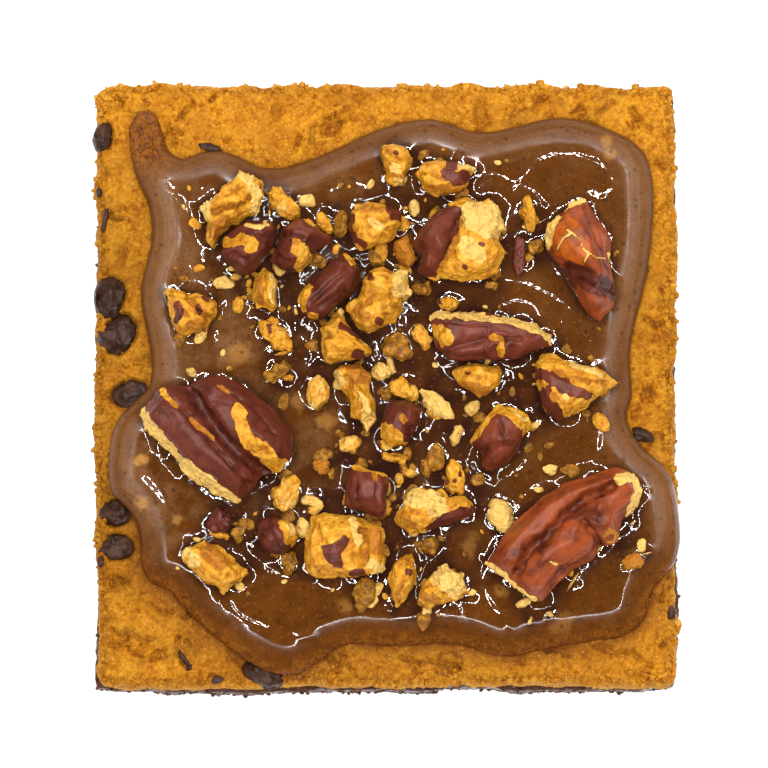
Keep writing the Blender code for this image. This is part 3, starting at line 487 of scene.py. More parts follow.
def makeScatterTree():
    tree, given = startScatterTree()
    dots = shadedDots(tree, given)
    luck = math2(tree, "POWER", chance(tree, 0.0, 1.0, 11), grainForm["smallness"])
    size = addNode(tree, "ShaderNodeMapRange", Value=luck,
                   To_Min=given["Smallest"], To_Max=given["Largest"]).outputs[0]
    squash = chance(tree, grainForm["thinnest"], grainForm["fullest"], 12)
    scale = vector2(tree, "SCALE", squash, Scale=size)
    turn = chance(tree, (0.0, 0.0, 0.0), (6.283, 6.283, 6.283), 13)
    ball = addNode(tree, "GeometryNodeMeshIcoSphere", Radius=1.0, Subdivisions=given["Roundness"]).outputs[0]
    grains = addNode(tree, "GeometryNodeInstanceOnPoints",
                     Points=dots, Instance=ball, Rotation=turn, Scale=scale)
    whole = addNode(tree, "GeometryNodeRealizeInstances", Geometry=grains.outputs[0]).outputs[0]
    place = addNode(tree, "GeometryNodeInputPosition").outputs[0]
    stir = addNode(tree, "ShaderNodeTexNoise", Vector=place, Scale=grainForm["stirScale"], Detail=2.0)
    stir = vector2(tree, "SUBTRACT", stir.outputs["Color"], i1=(0.5, 0.5, 0.5))
    push = vector2(tree, "SCALE", stir, Scale=given["Unevenness"])
    whole = addNode(tree, "GeometryNodeSetPosition", Geometry=whole, Offset=push).outputs[0]
    final = addNode(tree, "GeometryNodeSetMaterial", Geometry=whole, Material=given["Material"]).outputs[0]
    tree.links.new(final, tree.nodes.new("NodeGroupOutput").inputs["Grains"])
    return tree


scatterTree = makeScatterTree()


def scatterOver(surface, name, values):
    # sizes in millimetres, density per square millimetre where the surface's share is 1
    holder = bpy.data.objects.new("draft", surface.data)
    bpy.context.scene.collection.objects.link(holder)
    modifier = holder.modifiers.new("Scatter", "NODES")
    modifier.node_group = scatterTree
    settings = {key.capitalize(): values[key] for key in ("share", "roundness", "seed", "material")}
    settings["Density"] = values["density"] / mm**2
    for key in ("smallest", "largest", "unevenness"):
        settings[key.capitalize()] = values[key] * mm
    for item in scatterTree.interface.items_tree:
        if item.in_out == "INPUT" and item.name in settings:
            modifier[item.identifier] = settings[item.name]
    graph = bpy.context.evaluated_depsgraph_get()
    mesh = bpy.data.meshes.new_from_object(holder.evaluated_get(graph))
    holder.modifiers.remove(modifier)
    bpy.data.objects.remove(holder)
    mesh.polygons.foreach_set("use_smooth", [values["smooth"]] * len(mesh.polygons))
    piece = bpy.data.objects.new(name, mesh)
    bpy.context.scene.collection.objects.link(piece)
    print(name + ":", len(mesh.polygons), "faces")
    return piece


# The two baked layers

# Patches are a noise's scale, detail and roughness, where the mask starts and where it is full
cookieLook = {
    # pit colour: painted shade in the hollows, over the crumb's own uneven tone
    "pit": (0.18, 0.052, 0.003),
    "crust": (0.378, 0.136, 0.005),
    "grain": (0.55, 0.24, 0.015),
    "cutGrain": (0.54, 0.285, 0.048),
    "browned": (0.27, 0.078, 0.0035),
    # painted shade, multiplied over the crust by place
    "baked": (0.67, 0.64, 0.58),
    # the darker colour beside the glaze's edge: soaked-in glaze at the front, painted shade in a thin band
    # elsewhere
    "wet": (0.15, 0.042, 0.005),
    "honey": (0.5, 0.23, 0.019),
    "sugar": (0.76, 0.43, 0.11),
    "riseShares": (0.4, 0.36, 0.26),
    "crustPlaces": (0.22, 0.46, 0.8),
    "cutPlaces": (0.18, 0.42, 0.74),
    "honeyPatches": (330.0, 4.0, 0.7, 0.46, 0.62),
    "honeyStrength": 0.5,
    "brownedPatches": (170.0, 5.0, 0.68, 0.49, 0.62),
    "brownedStrength": 0.4,
    "wetPatches": (500.0, 4.0, 0.65, 0.1, 0.5),
    "sugarScale": 2300.0,
    "sugarRarity": 0.8,
    "sugarStrength": 0.22,
    "speckRarity": 0.86,
    "speckStrength": 0.45,
    "grainScale": 2600.0,
    "roughness": 0.78,
    "shine": 0.12,
    "bump": 0.0003,
}


def makeCookieMaterial(look):
    material, tree, shader, where = startMaterial("cookie crumb")
    grain = useGroup(tree, crumbGrain, Vector=where, Scale=look["grainScale"])
    rise = grainRise(tree, grain, look["riseShares"])
    # darker in the pits and paler on the peaks: painted shade in the hollows, over the crumb's own uneven
    # tone
    crust = shadeRamp(tree, rise, look, look["crustPlaces"], "pit", "crust", "grain")
    cut = shadeRamp(tree, rise, look, look["cutPlaces"], "pit", "crust", "cutGrain")
    for finish in ("honey", "browned"):
        share = patches(tree, where, look[finish + "Patches"])
        crust = tinted(tree, crust, share, look[finish], look[finish + "Strength"])
    # soaked-in glaze along the front edge, and painted shade in a thin band along the rest of the glaze's
    # edge
    wet = times(tree, fieldValue(tree, "wet"), patches(tree, where, look["wetPatches"]))
    crust = tinted(tree, crust, wet, look["wet"])
    sugar = specks(tree, where, look["sugarScale"], look["sugarRarity"])
    crust = tinted(tree, crust, sugar, look["sugar"], look["sugarStrength"])
    dark = specks(tree, where, look["sugarScale"] * 0.8, look["speckRarity"])
    crust = tinted(tree, crust, dark, look["browned"], look["speckStrength"])
    colour = mixColour(tree, fieldValue(tree, "cut"), crust, cut)
    # painted shade laid over the colour: palest at the back, darkest at the left
    colour = tinted(tree, colour, fieldValue(tree, "baked"), look["baked"], blend="MULTIPLY")
    tree.links.new(colour, shader.inputs["Base Color"])
    shader.inputs["Roughness"].default_value = look["roughness"]
    shader.inputs["Specular IOR Level"].default_value = look["shine"]
    bumpFrom(tree, shader, grain.outputs["Height"], look["bump"])
    return material


brownieLook = {
    # pit colour: painted shade in the hollows, over the crumb's own uneven tone
    "pit": (0.014, 0.005, 0.003),
    "crumb": (0.054, 0.018, 0.007),
    "high": (0.115, 0.042, 0.016),
    "riseShares": (0.6, 0.4),
    "places": (0.2, 0.5, 0.85),
    "grainScale": 1300.0,
    "moistScale": 700.0,
    "shine": 0.15,
    "bump": 0.0003,
}


def makeBrownieMaterial(look):
    material, tree, shader, where = startMaterial("brownie crumb")
    grain = useGroup(tree, crumbGrain, Vector=where, Scale=look["grainScale"])
    rise = grainRise(tree, grain, look["riseShares"])
    # darker in the pits: painted shade in the hollows, over the crumb's own uneven tone
    colour = shadeRamp(tree, rise, look, look["places"], "pit", "crumb", "high")
    tree.links.new(colour, shader.inputs["Base Color"])
    moist = spread(tree, noiseNode(tree, where, look["moistScale"]), 0.3, 0.8)
    tree.links.new(moist, shader.inputs["Roughness"])
    shader.inputs["Specular IOR Level"].default_value = look["shine"]
    bumpFrom(tree, shader, grain.outputs["Height"], look["bump"])
    return material


cookieMaterial = makeCookieMaterial(cookieLook)
brownieMaterial = makeBrownieMaterial(brownieLook)

cookieTree = nodeTree("cookie_layer")
skyHeight = 60.0  # rays start from above the nuts


def lowerHit(tree, x, y):
    hit = tree.ray_cast(Vector((x, y, skyHeight)), Vector((0, 0, -1)))[0]
    return hit.z if hit else None


crustSettings = {
    "sampleStep": 2.6,
    "inset": 2.4,
    "softness": 2.5,
    "chipClear": 4.5,
    "edgeDrop": 0.9,
    "edgeReach": 1.1,
}
chipNames = sorted(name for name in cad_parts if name.startswith("chip_"))
nutNames = sorted(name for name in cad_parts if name.startswith("pecan_"))
cookieLow, cookieHigh = (np.array(corner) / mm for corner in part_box("cookie_layer"))
chipMiddles = np.array([nodePoints(name).mean(axis=0)[:2] for name in chipNames])


def sampleCrust(settings):
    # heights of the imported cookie's top on a coarse grid, away from the chips' pockets
    inset, step = settings["inset"], settings["sampleStep"]
    found = []
    for x in np.arange(cookieLow[0] + inset, cookieHigh[0] - inset, step):
        for y in np.arange(cookieLow[1] + inset, cookieHigh[1] - inset, step):
            if np.linalg.norm(chipMiddles - (x, y), axis=1).min() < settings["chipClear"]:
                continue
            height = lowerHit(cookieTree, x, y)
            if height:
                found.append((x, y, height))
    return np.array(found)


crustSamples = sampleCrust(crustSettings)


def crustHeight(points):
    # the smooth height of the cookie's baked top, without its edge
    heights = np.empty(len(points))
    reach = 2 * crustSettings["softness"] ** 2
    for start in range(0, len(points), 4000):
        part = points[start:start + 4000, :2]
        gap = ((part[:, None, :] - crustSamples[None, :, :2]) ** 2).sum(axis=2)
        weight = np.exp(-gap / reach) + 1e-12
        heights[start:start + 4000] = (weight @ crustSamples[:, 2]) / weight.sum(axis=1)
    return heights


def sideRing(tree, height, spacing):
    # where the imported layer's side stands at one height, all round
    halfX, halfY = cookieHigh[0] + 4, cookieHigh[1] + 4
    ring = []
    for angle in np.linspace(-math.pi, math.pi, 1440, endpoint=False):
        ray = heading(angle)
        start = ray * min(halfX / max(abs(ray[0]), 1e-9), halfY / max(abs(ray[1]), 1e-9))
        hit = tree.ray_cast(Vector((start[0], start[1], height)), Vector((-ray[0], -ray[1], 0)))[0]
        if hit:
            ring.append((hit.x, hit.y))
    return evenRing(np.array(ring), spacing, softness=0.9)


def ringNormals(ring):
    along = np.roll(ring, -3, axis=0) - np.roll(ring, 3, axis=0)
    out = np.stack((along[:, 1], -along[:, 0]), axis=1)
    return out / np.linalg.norm(out, axis=1)[:, None]


def crumbRelief(points, settings):
    # clumps, torn holes and grains; returns the height and a share from pit to peak, which the colour
    # follows with painted shade in the pits
    clumps = rough(points, settings["clump"], settings["seed"], 3)
    gap, own, _ = grainField(points, settings["grain"], settings["seed"] + 5)
    grains = (0.55 - gap) + 0.5 * (own - 0.5)
    holes = smoothStep(ripple(points, settings["hole"], settings["seed"] + 9), settings["holeFrom"], 0.75)
    relief = settings["clumpRise"] * clumps + settings["grainRise"] * grains - settings["holeDeep"] * holes
    share = np.clip(0.5 + 0.22 * clumps + 0.65 * grains - 0.6 * holes, 0, 1)
    return relief, share


def bakedShare(points):
    # painted shade over the crust: palest along the back, then along the front, and darkest at the left
    across, away = points[:, 0] / cookieHigh[0], points[:, 1] / cookieHigh[1]
    drift = 0.18 * ripple(points * (1, 1, 0), 14.0, 9)
    sideways = 0.95 - 0.7 * smoothStep(across, -0.95, 0.8)
    front = 1 - 0.65 * smoothStep(-away, 0.5, 0.92)
    back = 0.85 * smoothStep(away, 0.35, 0.95)
    return np.clip(sideways * front - back + drift, 0, 1)


def soakAndEdgeShadeShare(points):
    # darker beside the glaze's edge: glaze soaked in along the front, and a thin band of painted shade along
    # the rest of the edge
    front = smoothStep(-points[:, 1], 8.0, 22.0)
    reach = 0.7 + 0.9 * front + 0.5 * ripple(points * (1, 1, 0), 3.0, 61)
    outside = np.clip(-depthInside(points, glazeRing), 0, None)
    return (0.3 + 0.7 * front) * np.exp(-outside / np.clip(reach, 0.3, 3))


def layerRing(node, settings, recess):
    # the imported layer's side in plan, made uneven and set back, and the way out of it at each point
    ring = sideRing(nodeTree(node), settings["ringHeight"], settings["spacing"])
    out = ringNormals(ring)
    waver = settings["waver"] * (rough(flatOf(ring), 4.5, settings["seed"] + 13, 3) - 0.3)
    ring = ring + out * waver[:, None]
    return ring - out * recess(ring, out)[:, None], out


def layerSide(ring, out, bottom, top, settings):
    # rows of points up the side, drawn in at the foot and rounded at the upper edge
    rows, normals = [], []
    for level in np.linspace(0, 1, settings["levels"]):
        height = bottom + (top - bottom) * level
        over = np.clip((height - (top - settings["round"])) / settings["round"], 0, 1)
        inset = settings["round"] * (1 - np.sqrt(1 - over**2))
        under = np.clip((bottom + settings["foot"] - height) / settings["foot"], 0, 1)
        inset = inset + settings["footIn"] * under**2
        rows.append(np.column_stack((ring - out * inset[:, None], height)))
        normals.append(np.column_stack((out * np.sqrt(1 - over**2)[:, None], over)))
    return rows, np.vstack(normals)


def layerCap(last, settings, form):
    # the points of the top with their relief, and each one's share from pit to peak
    inner = form["capPoints"](last)
    cap = np.column_stack((inner, form["capHeight"](inner)))
    relief, share = crumbRelief(cap, settings)
    carved = form["carved"](inner)
    fade = np.clip(depthInside(inner, last), 0, 1) * (settings["topRelief"] - 1) + 1
    cap[:, 2] += (relief + carved) * fade
    # the cracks and the hollows under the chips take the darker pit colour too: painted shade
    return inner, cap, np.clip(share + 0.5 * carved, 0, 1)


def layerFaces(rows, inner, base):
    # bands up the side, then the top and the underside
    count = len(rows[0])
    faces = []
    for row in range(len(rows) - 1):
        for i in range(count):
            j = (i + 1) % count
            faces.append((row * count + i, row * count + j, (row + 1) * count + j, (row + 1) * count + i))
    firstCap = len(rows) * count
    firstBase = firstCap + len(inner)
    for face in capFaces(rows[-1][:, :2], inner):
        faces.append(tuple(i + firstCap - count if i < count else i - count + firstCap for i in face))
    for face in capFaces(rows[0][:, :2], base):
        faces.append(tuple(i if i < count else i - count + firstBase for i in face[::-1]))
    return faces


def makeLayer(name, node, settings, form, material):
    # a closed layer: a fine torn side, a rounded upper edge and a cap
    ring, out = layerRing(node, settings, form["recess"])
    bottom, top = form["low"](ring), form["high"](ring)
    rows, normals = layerSide(ring, out, bottom, top, settings)
    side, last = np.vstack(rows), rows[-1][:, :2]
    relief, share = crumbRelief(side, settings)
    side = side + normals * relief[:, None]
    inner, cap, capShare = layerCap(last, settings, form)
    base = gridPoints(last.min(axis=0), last.max(axis=0), 4.0, 3)
    base = base[depthInside(base, rows[0][:, :2]) > 2.0]
    none, whole = np.zeros(len(base)), np.ones(len(base))
    baseTop = np.column_stack((base, np.full(len(base), float(np.mean(bottom)))))
    points = np.vstack((side, cap, baseTop))
    points[:, 2] = np.maximum(points[:, 2], settings["floor"])
    cut = 1 - smoothStep(normals[:, 2], 0.2, 0.9)
    sideGrains = settings["sideGrains"] * (0.3 + 0.7 * smoothStep(-normals[:, 1], 0.4, 0.9))
    sideGrains = sideGrains * (side[:, 2] > settings["floor"] + 0.8)
    edge = smoothStep(normals[:, 2], 0.05, 0.5)
    capEdge = 0.5 * smoothStep(depthInside(inner, last), 1.2, 0.2)
    values = {
        "rise": np.concatenate((share, capShare, 0.5 * whole)),
        "cut": np.concatenate((cut, np.zeros(len(inner)), whole)),
        "grains": np.concatenate((np.maximum(sideGrains, edge), form["grains"](inner), none)),
        "edge": np.concatenate((edge, capEdge, none)),
        # how much painted shade lies over the crust at each point
        "baked": bakedShare(points),
        # soaked-in glaze at the front, painted shade in a thin band elsewhere
        "wet": soakAndEdgeShadeShare(points),
    }
    return makePiece(name, points, layerFaces(rows, inner, base), material, values)


# The glaze's outline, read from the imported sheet

def glazeOutline():
    shape = openCopy("praline_glaze")
    rim = {}
    for edge in shape.edges:
        ups = sorted(face.normal.z for face in edge.link_faces)
        if len(ups) == 2 and ups[0] < -0.05 and ups[1] > 0.05:
            a, b = edge.verts
            rim.setdefault(a.index, []).append(b.index)
            rim.setdefault(b.index, []).append(a.index)
    shape.verts.ensure_lookup_table()
    loops = []
    left = set(rim)
    while left:
        start = left.pop()
        loop, here = [start], start
        while True:
            following = [i for i in rim[here] if i in left]
            if not following:
                break
            here = following[0]
            left.discard(here)
            loop.append(here)
        loops.append(loop)
    longest = max(loops, key=len)
    ring = np.array([tuple(shape.verts[i].co.xy / mm) for i in longest])
    shape.free()
    turned = (ring[:, 0] * np.roll(ring[:, 1], -1) - np.roll(ring[:, 0], -1) * ring[:, 1]).sum()
    return ring if turned > 0 else ring[::-1]


glazeRing = evenRing(glazeOutline(), 0.3, softness=0.8)
print("glaze outline:", len(glazeRing), "points, from", glazeRing.min(axis=0), "to", glazeRing.max(axis=0))

cookieShape = {
    "spacing": 0.34,
    "levels": 34,
    "ringHeight": 19.5,
    "round": 0.9,
    "foot": 0.8,
    "footIn": 0.35,
    "clump": 3.0,
    "clumpRise": 0.34,
    "grain": 0.62,
    "grainRise": 0.15,
    "hole": 3.1,
    "holeFrom": 0.4,
    "holeDeep": 0.6,
    "topRelief": 1.05,
    "waver": 0.3,
    "seed": 11,
    "floor": 0.0,
    "topSpacing": 0.215,
    "underSpacing": 2.5,
    "sideGrains": 0.35,
}
cookieCracks = (
    ((112, 628), (122, 636), (134, 634), (146, 641)),
    ((402, 657), (420, 662), (441, 659), (460, 667)),
    ((597, 646), (615, 652), (632, 650), (650, 664)),
    ((212, 674), (222, 682)),
    ((178, 646), (187, 666)),
    ((150, 602), (160, 612), (172, 610)),
)
crackSettings = {"width": 0.34, "deep": 0.8, "count": 46, "shortest": 0.9, "longest": 3.6, "seed": 15}


def chanceCracks():
    # short bent cracks over the crust that shows
    draw = np.random.RandomState(crackSettings["seed"])
    cracks = []
    while len(cracks) < crackSettings["count"]:
        start = draw.uniform(cookieLow[:2], cookieHigh[:2])
        if depthInside(start[None], glazeRing)[0] > -0.8 or depthInside(start[None], cookieRing)[0] < 0.8:
            continue
        angle = draw.uniform(0, math.pi)
        line = [start]
        for _ in range(3):
            step = draw.uniform(crackSettings["shortest"], crackSettings["longest"]) / 3
            angle += draw.uniform(-0.9, 0.9)
            line.append(line[-1] + step * heading(angle))
        cracks.append(np.array(line))
    return cracks


def crackDepth(points):
    total = np.zeros(len(points))
    wander = 0.35 * wandering(flatOf(points), 0.9, 41)
    for crack in [spots(crack) for crack in cookieCracks] + chanceCracks():
        gap = nearLine(points + wander, crack)
        total = np.minimum(total, -crackSettings["deep"] * bell(gap, crackSettings["width"]))
    return total


def chipHollow(points):
    # the cookie lies lower under each chip
    total = np.zeros(len(points))
    for name in chipNames:
        corners = nodePoints(name)
        hull = geometry.convex_hull_2d([Vector(p[:2]) for p in corners])
        outline = np.array([corners[i][:2] for i in hull])
        total = np.maximum(total, 1.5 * smoothStep(depthInside(points, outline), -0.15, 0.75))
    return total


def brownieTop(points):
    # the middle of the line between the two layers, from their packed boxes
    middle = (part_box("brownie_layer")[1].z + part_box("cookie_layer")[0].z) / 2 / mm
    return middle + 0.45 * ripple(flatOf(points), 8.0, 3)


def edgedCrust(points, ring):
    edge = np.clip(depthInside(points, ring), 0, None)
    return crustHeight(points) - crustSettings["edgeDrop"] * np.exp(-edge / crustSettings["edgeReach"])


def bareShare(points):
    # loose grains lie in patches where the crust shows
    patchy = 0.35 + smoothStep(rough(flatOf(points), 5.0, 27, 2), -0.1, 0.5)
    return patchy * smoothStep(depthInside(points, glazeRing), 0.5, -0.1)


def cookieCap(last):
    # fine points where the crust shows and coarse ones under the glaze
    lowest, highest = last.min(axis=0), last.max(axis=0)
    fine = gridPoints(lowest, highest, cookieShape["topSpacing"], 1)
    fine = fine[depthInside(fine, last) > 0.12]
    fine = fine[depthInside(fine, glazeRing) < 0.9]
    coarse = gridPoints(lowest, highest, cookieShape["underSpacing"], 2)
    coarse = coarse[depthInside(coarse, glazeRing) > 1.4]
    return np.vstack((fine, coarse))


cookieForm = {
    "low": lambda ring: brownieTop(ring) - 0.1,
    "high": lambda ring: crustHeight(ring) - crustSettings["edgeDrop"],
    "recess": lambda ring, out: np.zeros(len(ring)),
    "capPoints": cookieCap,
    "capHeight": lambda inner: edgedCrust(inner, cookieRing),
    "carved": lambda inner: crackDepth(inner) - chipHollow(inner),
    "grains": bareShare,
}


brownieShape = {
    "spacing": 0.36,
    "levels": 32,
    "ringHeight": 7.0,
    "round": 0.6,
    "foot": 0.7,
    "footIn": 0.4,
    "clump": 2.9,
    "clumpRise": 0.2,
    "grain": 1.15,
    "grainRise": 0.2,
    "hole": 2.6,
    "holeFrom": 0.5,
    "holeDeep": 0.6,
    "topRelief": 0.5,
    "waver": 0.12,
    "seed": 31,
    "floor": 0.0,
    "sideGrains": 0.4,
}


def brownieRecess(ring, out):
    # the dark layer shows least at the two ends of the front and just right of its middle
    front = smoothStep(-out[:, 1], 0.5, 0.9)
    ends = np.maximum(smoothStep(-ring[:, 0], 27.5, 31.0), smoothStep(ring[:, 0], 33.5, 36.0))
    gap = 1 - smoothStep(np.abs(ring[:, 0] - 10.6), 3.0, 5.5)
    return front * (0.3 + 0.4 * np.maximum(ends, gap))


def ledgePoints(last):
    # fine points where the brownie stands out past the cookie, coarse ones under it
    fine = gridPoints(last.min(axis=0), last.max(axis=0), 0.4, 4)
    depth = depthInside(fine, last)
    coarse = gridPoints(last.min(axis=0), last.max(axis=0), 3.5, 5)
    return np.vstack((fine[(depth > 0.15) & (depth < 1.6)], coarse[depthInside(coarse, last) > 2.6]))


brownieForm = {
    "low": lambda ring: np.zeros(len(ring)),
    "high": lambda ring: brownieTop(ring) + 0.1,
    "recess": brownieRecess,
    "capPoints": ledgePoints,
    "capHeight": lambda inner: brownieTop(inner) + 0.1,
    "carved": lambda inner: np.zeros(len(inner)),
    "grains": lambda inner: np.zeros(len(inner)),
}


cookieRing = sideRing(cookieTree, cookieShape["ringHeight"], cookieShape["spacing"])
cookiePiece = makeLayer("cookieCrumb", "cookie_layer", cookieShape, cookieForm, cookieMaterial)
settle(cookiePiece, "cookie", "cookie_layer")
print("cookie:", len(cookiePiece.data.polygons), "faces")
browniePiece = makeLayer("brownieCrumb", "brownie_layer", brownieShape, brownieForm, brownieMaterial)
settle(browniePiece, "brownie", "brownie_layer")
print("brownie:", len(browniePiece.data.polygons), "faces")

cookieGrains = {
    "share": "grains", "density": 1.0, "smallest": 0.16, "largest": 0.46, "unevenness": 0.3,
    "roundness": 1, "seed": 3, "material": cookieMaterial, "smooth": False,
}
cookieCrumbs = {
    "share": "edge", "density": 2.2, "smallest": 0.35, "largest": 1.15, "unevenness": 0.9,
    "roundness": 2, "seed": 5, "material": cookieMaterial, "smooth": False,
}
brownieGrains = {
    "share": "grains", "density": 0.75, "smallest": 0.3, "largest": 0.8, "unevenness": 0.6,
    "roundness": 2, "seed": 8, "material": brownieMaterial, "smooth": False,
}
settle(scatterOver(cookiePiece, "cookieGrains", cookieGrains), "cookie")
settle(scatterOver(cookiePiece, "cookieCrumbs", cookieCrumbs), "cookie")
settle(scatterOver(browniePiece, "brownieGrains", brownieGrains), "brownie")

# The height of the glaze, which the nuts stand in

glazeShape = {
    "thick": 2.35,
    "thinning": 0.006,
    "rim": 1.9,
    "frontRim": 3.2,
    "lift": 0.12,
    "poolDrop": 0.25,
    "poolFrom": (3.4, 5.4),
    "spacing": 0.34,
    "insets": (0.05, 0.16, 0.32, 0.54, 0.82, 1.16, 1.56, 2.0),
    "foldDepths": (0.9, 1.75, 2.55, 3.3),
    "foldWidth": 0.26,
    "foldRise": 0.075,
    "foldReach": 3.6,
    "creep": 0.34,
    "calmCreep": 0.13,
    "creepReach": 1.0,
    "weltRise": 0.08,
    "weltWidth": 0.3,
    "stepRise": 0.062,
    "stepWidth": 0.3,
    "stepReach": 2.2,
    "swell": 0.05,
    "weltWander": 0.16,
    "nutReach": 3.5,
    "nutRipple": 0.045,
    "crumbShare": 0.6,
    "tongueReach": 3.4,
    "tongueDrop": 1.6,
    "tongueRough": 0.16,
    "cloudReach": 2.8,
    "spotEdge": 1.4,
    "underEdge": 1.3,
}
# The glaze's uneven patterns: size, seed, and the layers where there are more than one
glazeWaves = {
    "swell": (5.0, 61, 2), "fold": (6.0, 65), "creep": (3.4, 67), "nutSide": (1.7, 69, 2),
    "welt": (1.1, 71), "gloss": (4.0, 75), "under": (1.6, 78, 2), "pool": (5.0, 80), "paintedContactShade": (2.3, 82),
    "milkyAndSheen": (9.0, 84), "tongue": (0.9, 86, 2), "margin": (2.2, 88),
}
# Where each of the glaze's changes starts and where it is full, by depth, by place or by crowding
glazeBounds = {
    "inner": (0.3, 2.5), "creep": (0.12, 0.55), "thin": (0.0, 0.8), "gloss": (2.2, 4.2),
    "overhang": (1.6, 0.8), "pool": (2.6, 6.0), "paintedContactShade": (0.45, 1.15), "busy": (0.5, 1.5),
    "margin": (0.3, 2.2), "left": (-16.0, 22.0), "milkyAndSheen": (1.0, 4.0),
}


def frontShare(points):
    return smoothStep(-points[:, 1], 16.0, 27.0)


def glazeTopAt(points):
    # the glaze's plain height, before it creeps up the nuts
    depth = depthInside(points, glazeRing)
    full = glazeShape["thick"] + glazeShape["thinning"] * points[:, 1]
    share = np.clip(depth / (glazeShape["rim"] + glazeShape["frontRim"] * frontShare(points)), 0, 1)
    body = full * np.sqrt(np.clip(1 - (1 - share) ** 2, 0, 1))
    sag = glazeShape["poolDrop"] * smoothStep(depth, *glazeShape["poolFrom"])
    return crustHeight(points) + glazeShape["lift"] + body - sag, depth, share


# Nuts

nutLook = {
    "skinDark": (0.08, 0.015, 0.007),
    "skinRed": (0.32, 0.061, 0.0125),
    "skinMauve": (0.155, 0.036, 0.024),
    "skinDeep": (0.028, 0.005, 0.003),
    "flesh": (0.52, 0.225, 0.013),
    "fleshDeep": (0.29, 0.098, 0.006),
    "fleshHigh": (0.64, 0.34, 0.042),
    "pale": (0.64, 0.41, 0.11),
    "amber": (0.33, 0.11, 0.01),
    "orange": (0.39, 0.082, 0.006),
    # the glaze's coat over a nut's foot, darkened further as painted shade where the nut stands in the glaze
    "filmAndShade": (0.115, 0.048, 0.011),
    "toasted": (0.4, 0.14, 0.009),
    "riseShares": (0.7, 0.3),
    "fleshPlaces": (0.15, 0.45, 0.85),
    "toastedPatches": (340.0, 4.0, 0.7, 0.46, 0.66),
    "toastedStrength": 0.45,
    "finishStrength": 0.85,
    "flakeScale": 1500.0,
    "flakeRarity": 0.84,
    "flakeStrength": 0.5,
    "streakPatches": (420.0, 4.0, 0.6, 0.35, 0.65),
    "streakStrength": 1.1,
    "filmStrength": 0.6,
    "grainScale": 1900.0,
    "edgeScale": 1100.0,
    "edgeNoise": 0.42,
    "roughness": 0.52,
    "shine": 0.21,
    "bump": 0.0003,
}


def sharpened(tree, share, speck, amount):
    # a blurred share drawn to a crisp, uneven edge
    moved = timesPlus(tree, math2(tree, "SUBTRACT", speck, 0.5), amount, share)
    return spread(tree, moved, 0.4, 0.6)


def nutFlesh(tree, where, rise, speck, look):
    # deeper flesh colour in the low places and the furrows: painted shade, over the flesh's own uneven tone
    flesh = shadeRamp(tree, rise, look, look["fleshPlaces"], "fleshDeep", "flesh", "fleshHigh")
    toasted = patches(tree, where, look["toastedPatches"])
    flesh = tinted(tree, flesh, toasted, look["toasted"], look["toastedStrength"])
    for finish in ("amber", "pale"):
        share = sharpened(tree, fieldValue(tree, finish), speck, 2 * look["edgeNoise"])
        flesh = tinted(tree, flesh, share, look[finish], look["finishStrength"])
    flakes = specks(tree, where, look["flakeScale"], look["flakeRarity"])
    return tinted(tree, flesh, flakes, look["fleshDeep"], look["flakeStrength"])


def nutSkin(tree, where, rise, speck, look):
    skin = mixColour(tree, fieldValue(tree, "tone"), (*look["skinDark"], 1), (*look["skinRed"], 1))
    skin = tinted(tree, skin, fieldValue(tree, "mauve"), look["skinMauve"])
    orange = sharpened(tree, fieldValue(tree, "amber"), speck, look["edgeNoise"])
    skin = tinted(tree, skin, orange, look["orange"])
    streaks = patches(tree, where, look["streakPatches"])
    # the skin darkens in the low places and furrows, in streaky patches: painted shade in the grooves, over
    # the skin's own streaks
    deep = times(tree, math2(tree, "SUBTRACT", 1.0, rise), streaks)
    return tinted(tree, skin, deep, look["skinDeep"], look["streakStrength"])


def makeNutMaterial(look):
    material, tree, shader, where = startMaterial("pecan")
    grain = useGroup(tree, crumbGrain, Vector=where, Scale=look["grainScale"])
    rise = grainRise(tree, grain, look["riseShares"])
    speck = noiseNode(tree, where, look["edgeScale"], 4.0, 0.65)
    flesh = nutFlesh(tree, where, rise, speck, look)
    skin = nutSkin(tree, where, rise, speck, look)
    skinShare = sharpened(tree, fieldValue(tree, "skin"), speck, look["edgeNoise"])
    colour = mixColour(tree, skinShare, flesh, skin)
    # the foot is darkened twice, by multiplying and by mixing: partly the glaze coat's own colour, partly
    # painted shade where the nut meets the glaze
    filmAndShade = times(tree, fieldValue(tree, "filmAndShade"), spread(tree, speck, 0.25, 0.6))
    colour = tinted(tree, colour, filmAndShade, look["filmAndShade"], blend="MULTIPLY")
    colour = tinted(tree, colour, filmAndShade, look["filmAndShade"], look["filmStrength"])
    tree.links.new(colour, shader.inputs["Base Color"])
    wet = timesPlus(tree, fieldValue(tree, "filmAndShade"), -0.25, look["roughness"])
    sheen = timesPlus(tree, skinShare, -0.16, wet)
    tree.links.new(sheen, shader.inputs["Roughness"])
    shader.inputs["Specular IOR Level"].default_value = look["shine"]
    coarse = timesPlus(tree, skinShare, -0.85, 1.0)
    bumpFrom(tree, shader, times(tree, grain.outputs["Height"], coarse), look["bump"])
    return material


nutMaterial = makeNutMaterial(nutLook)

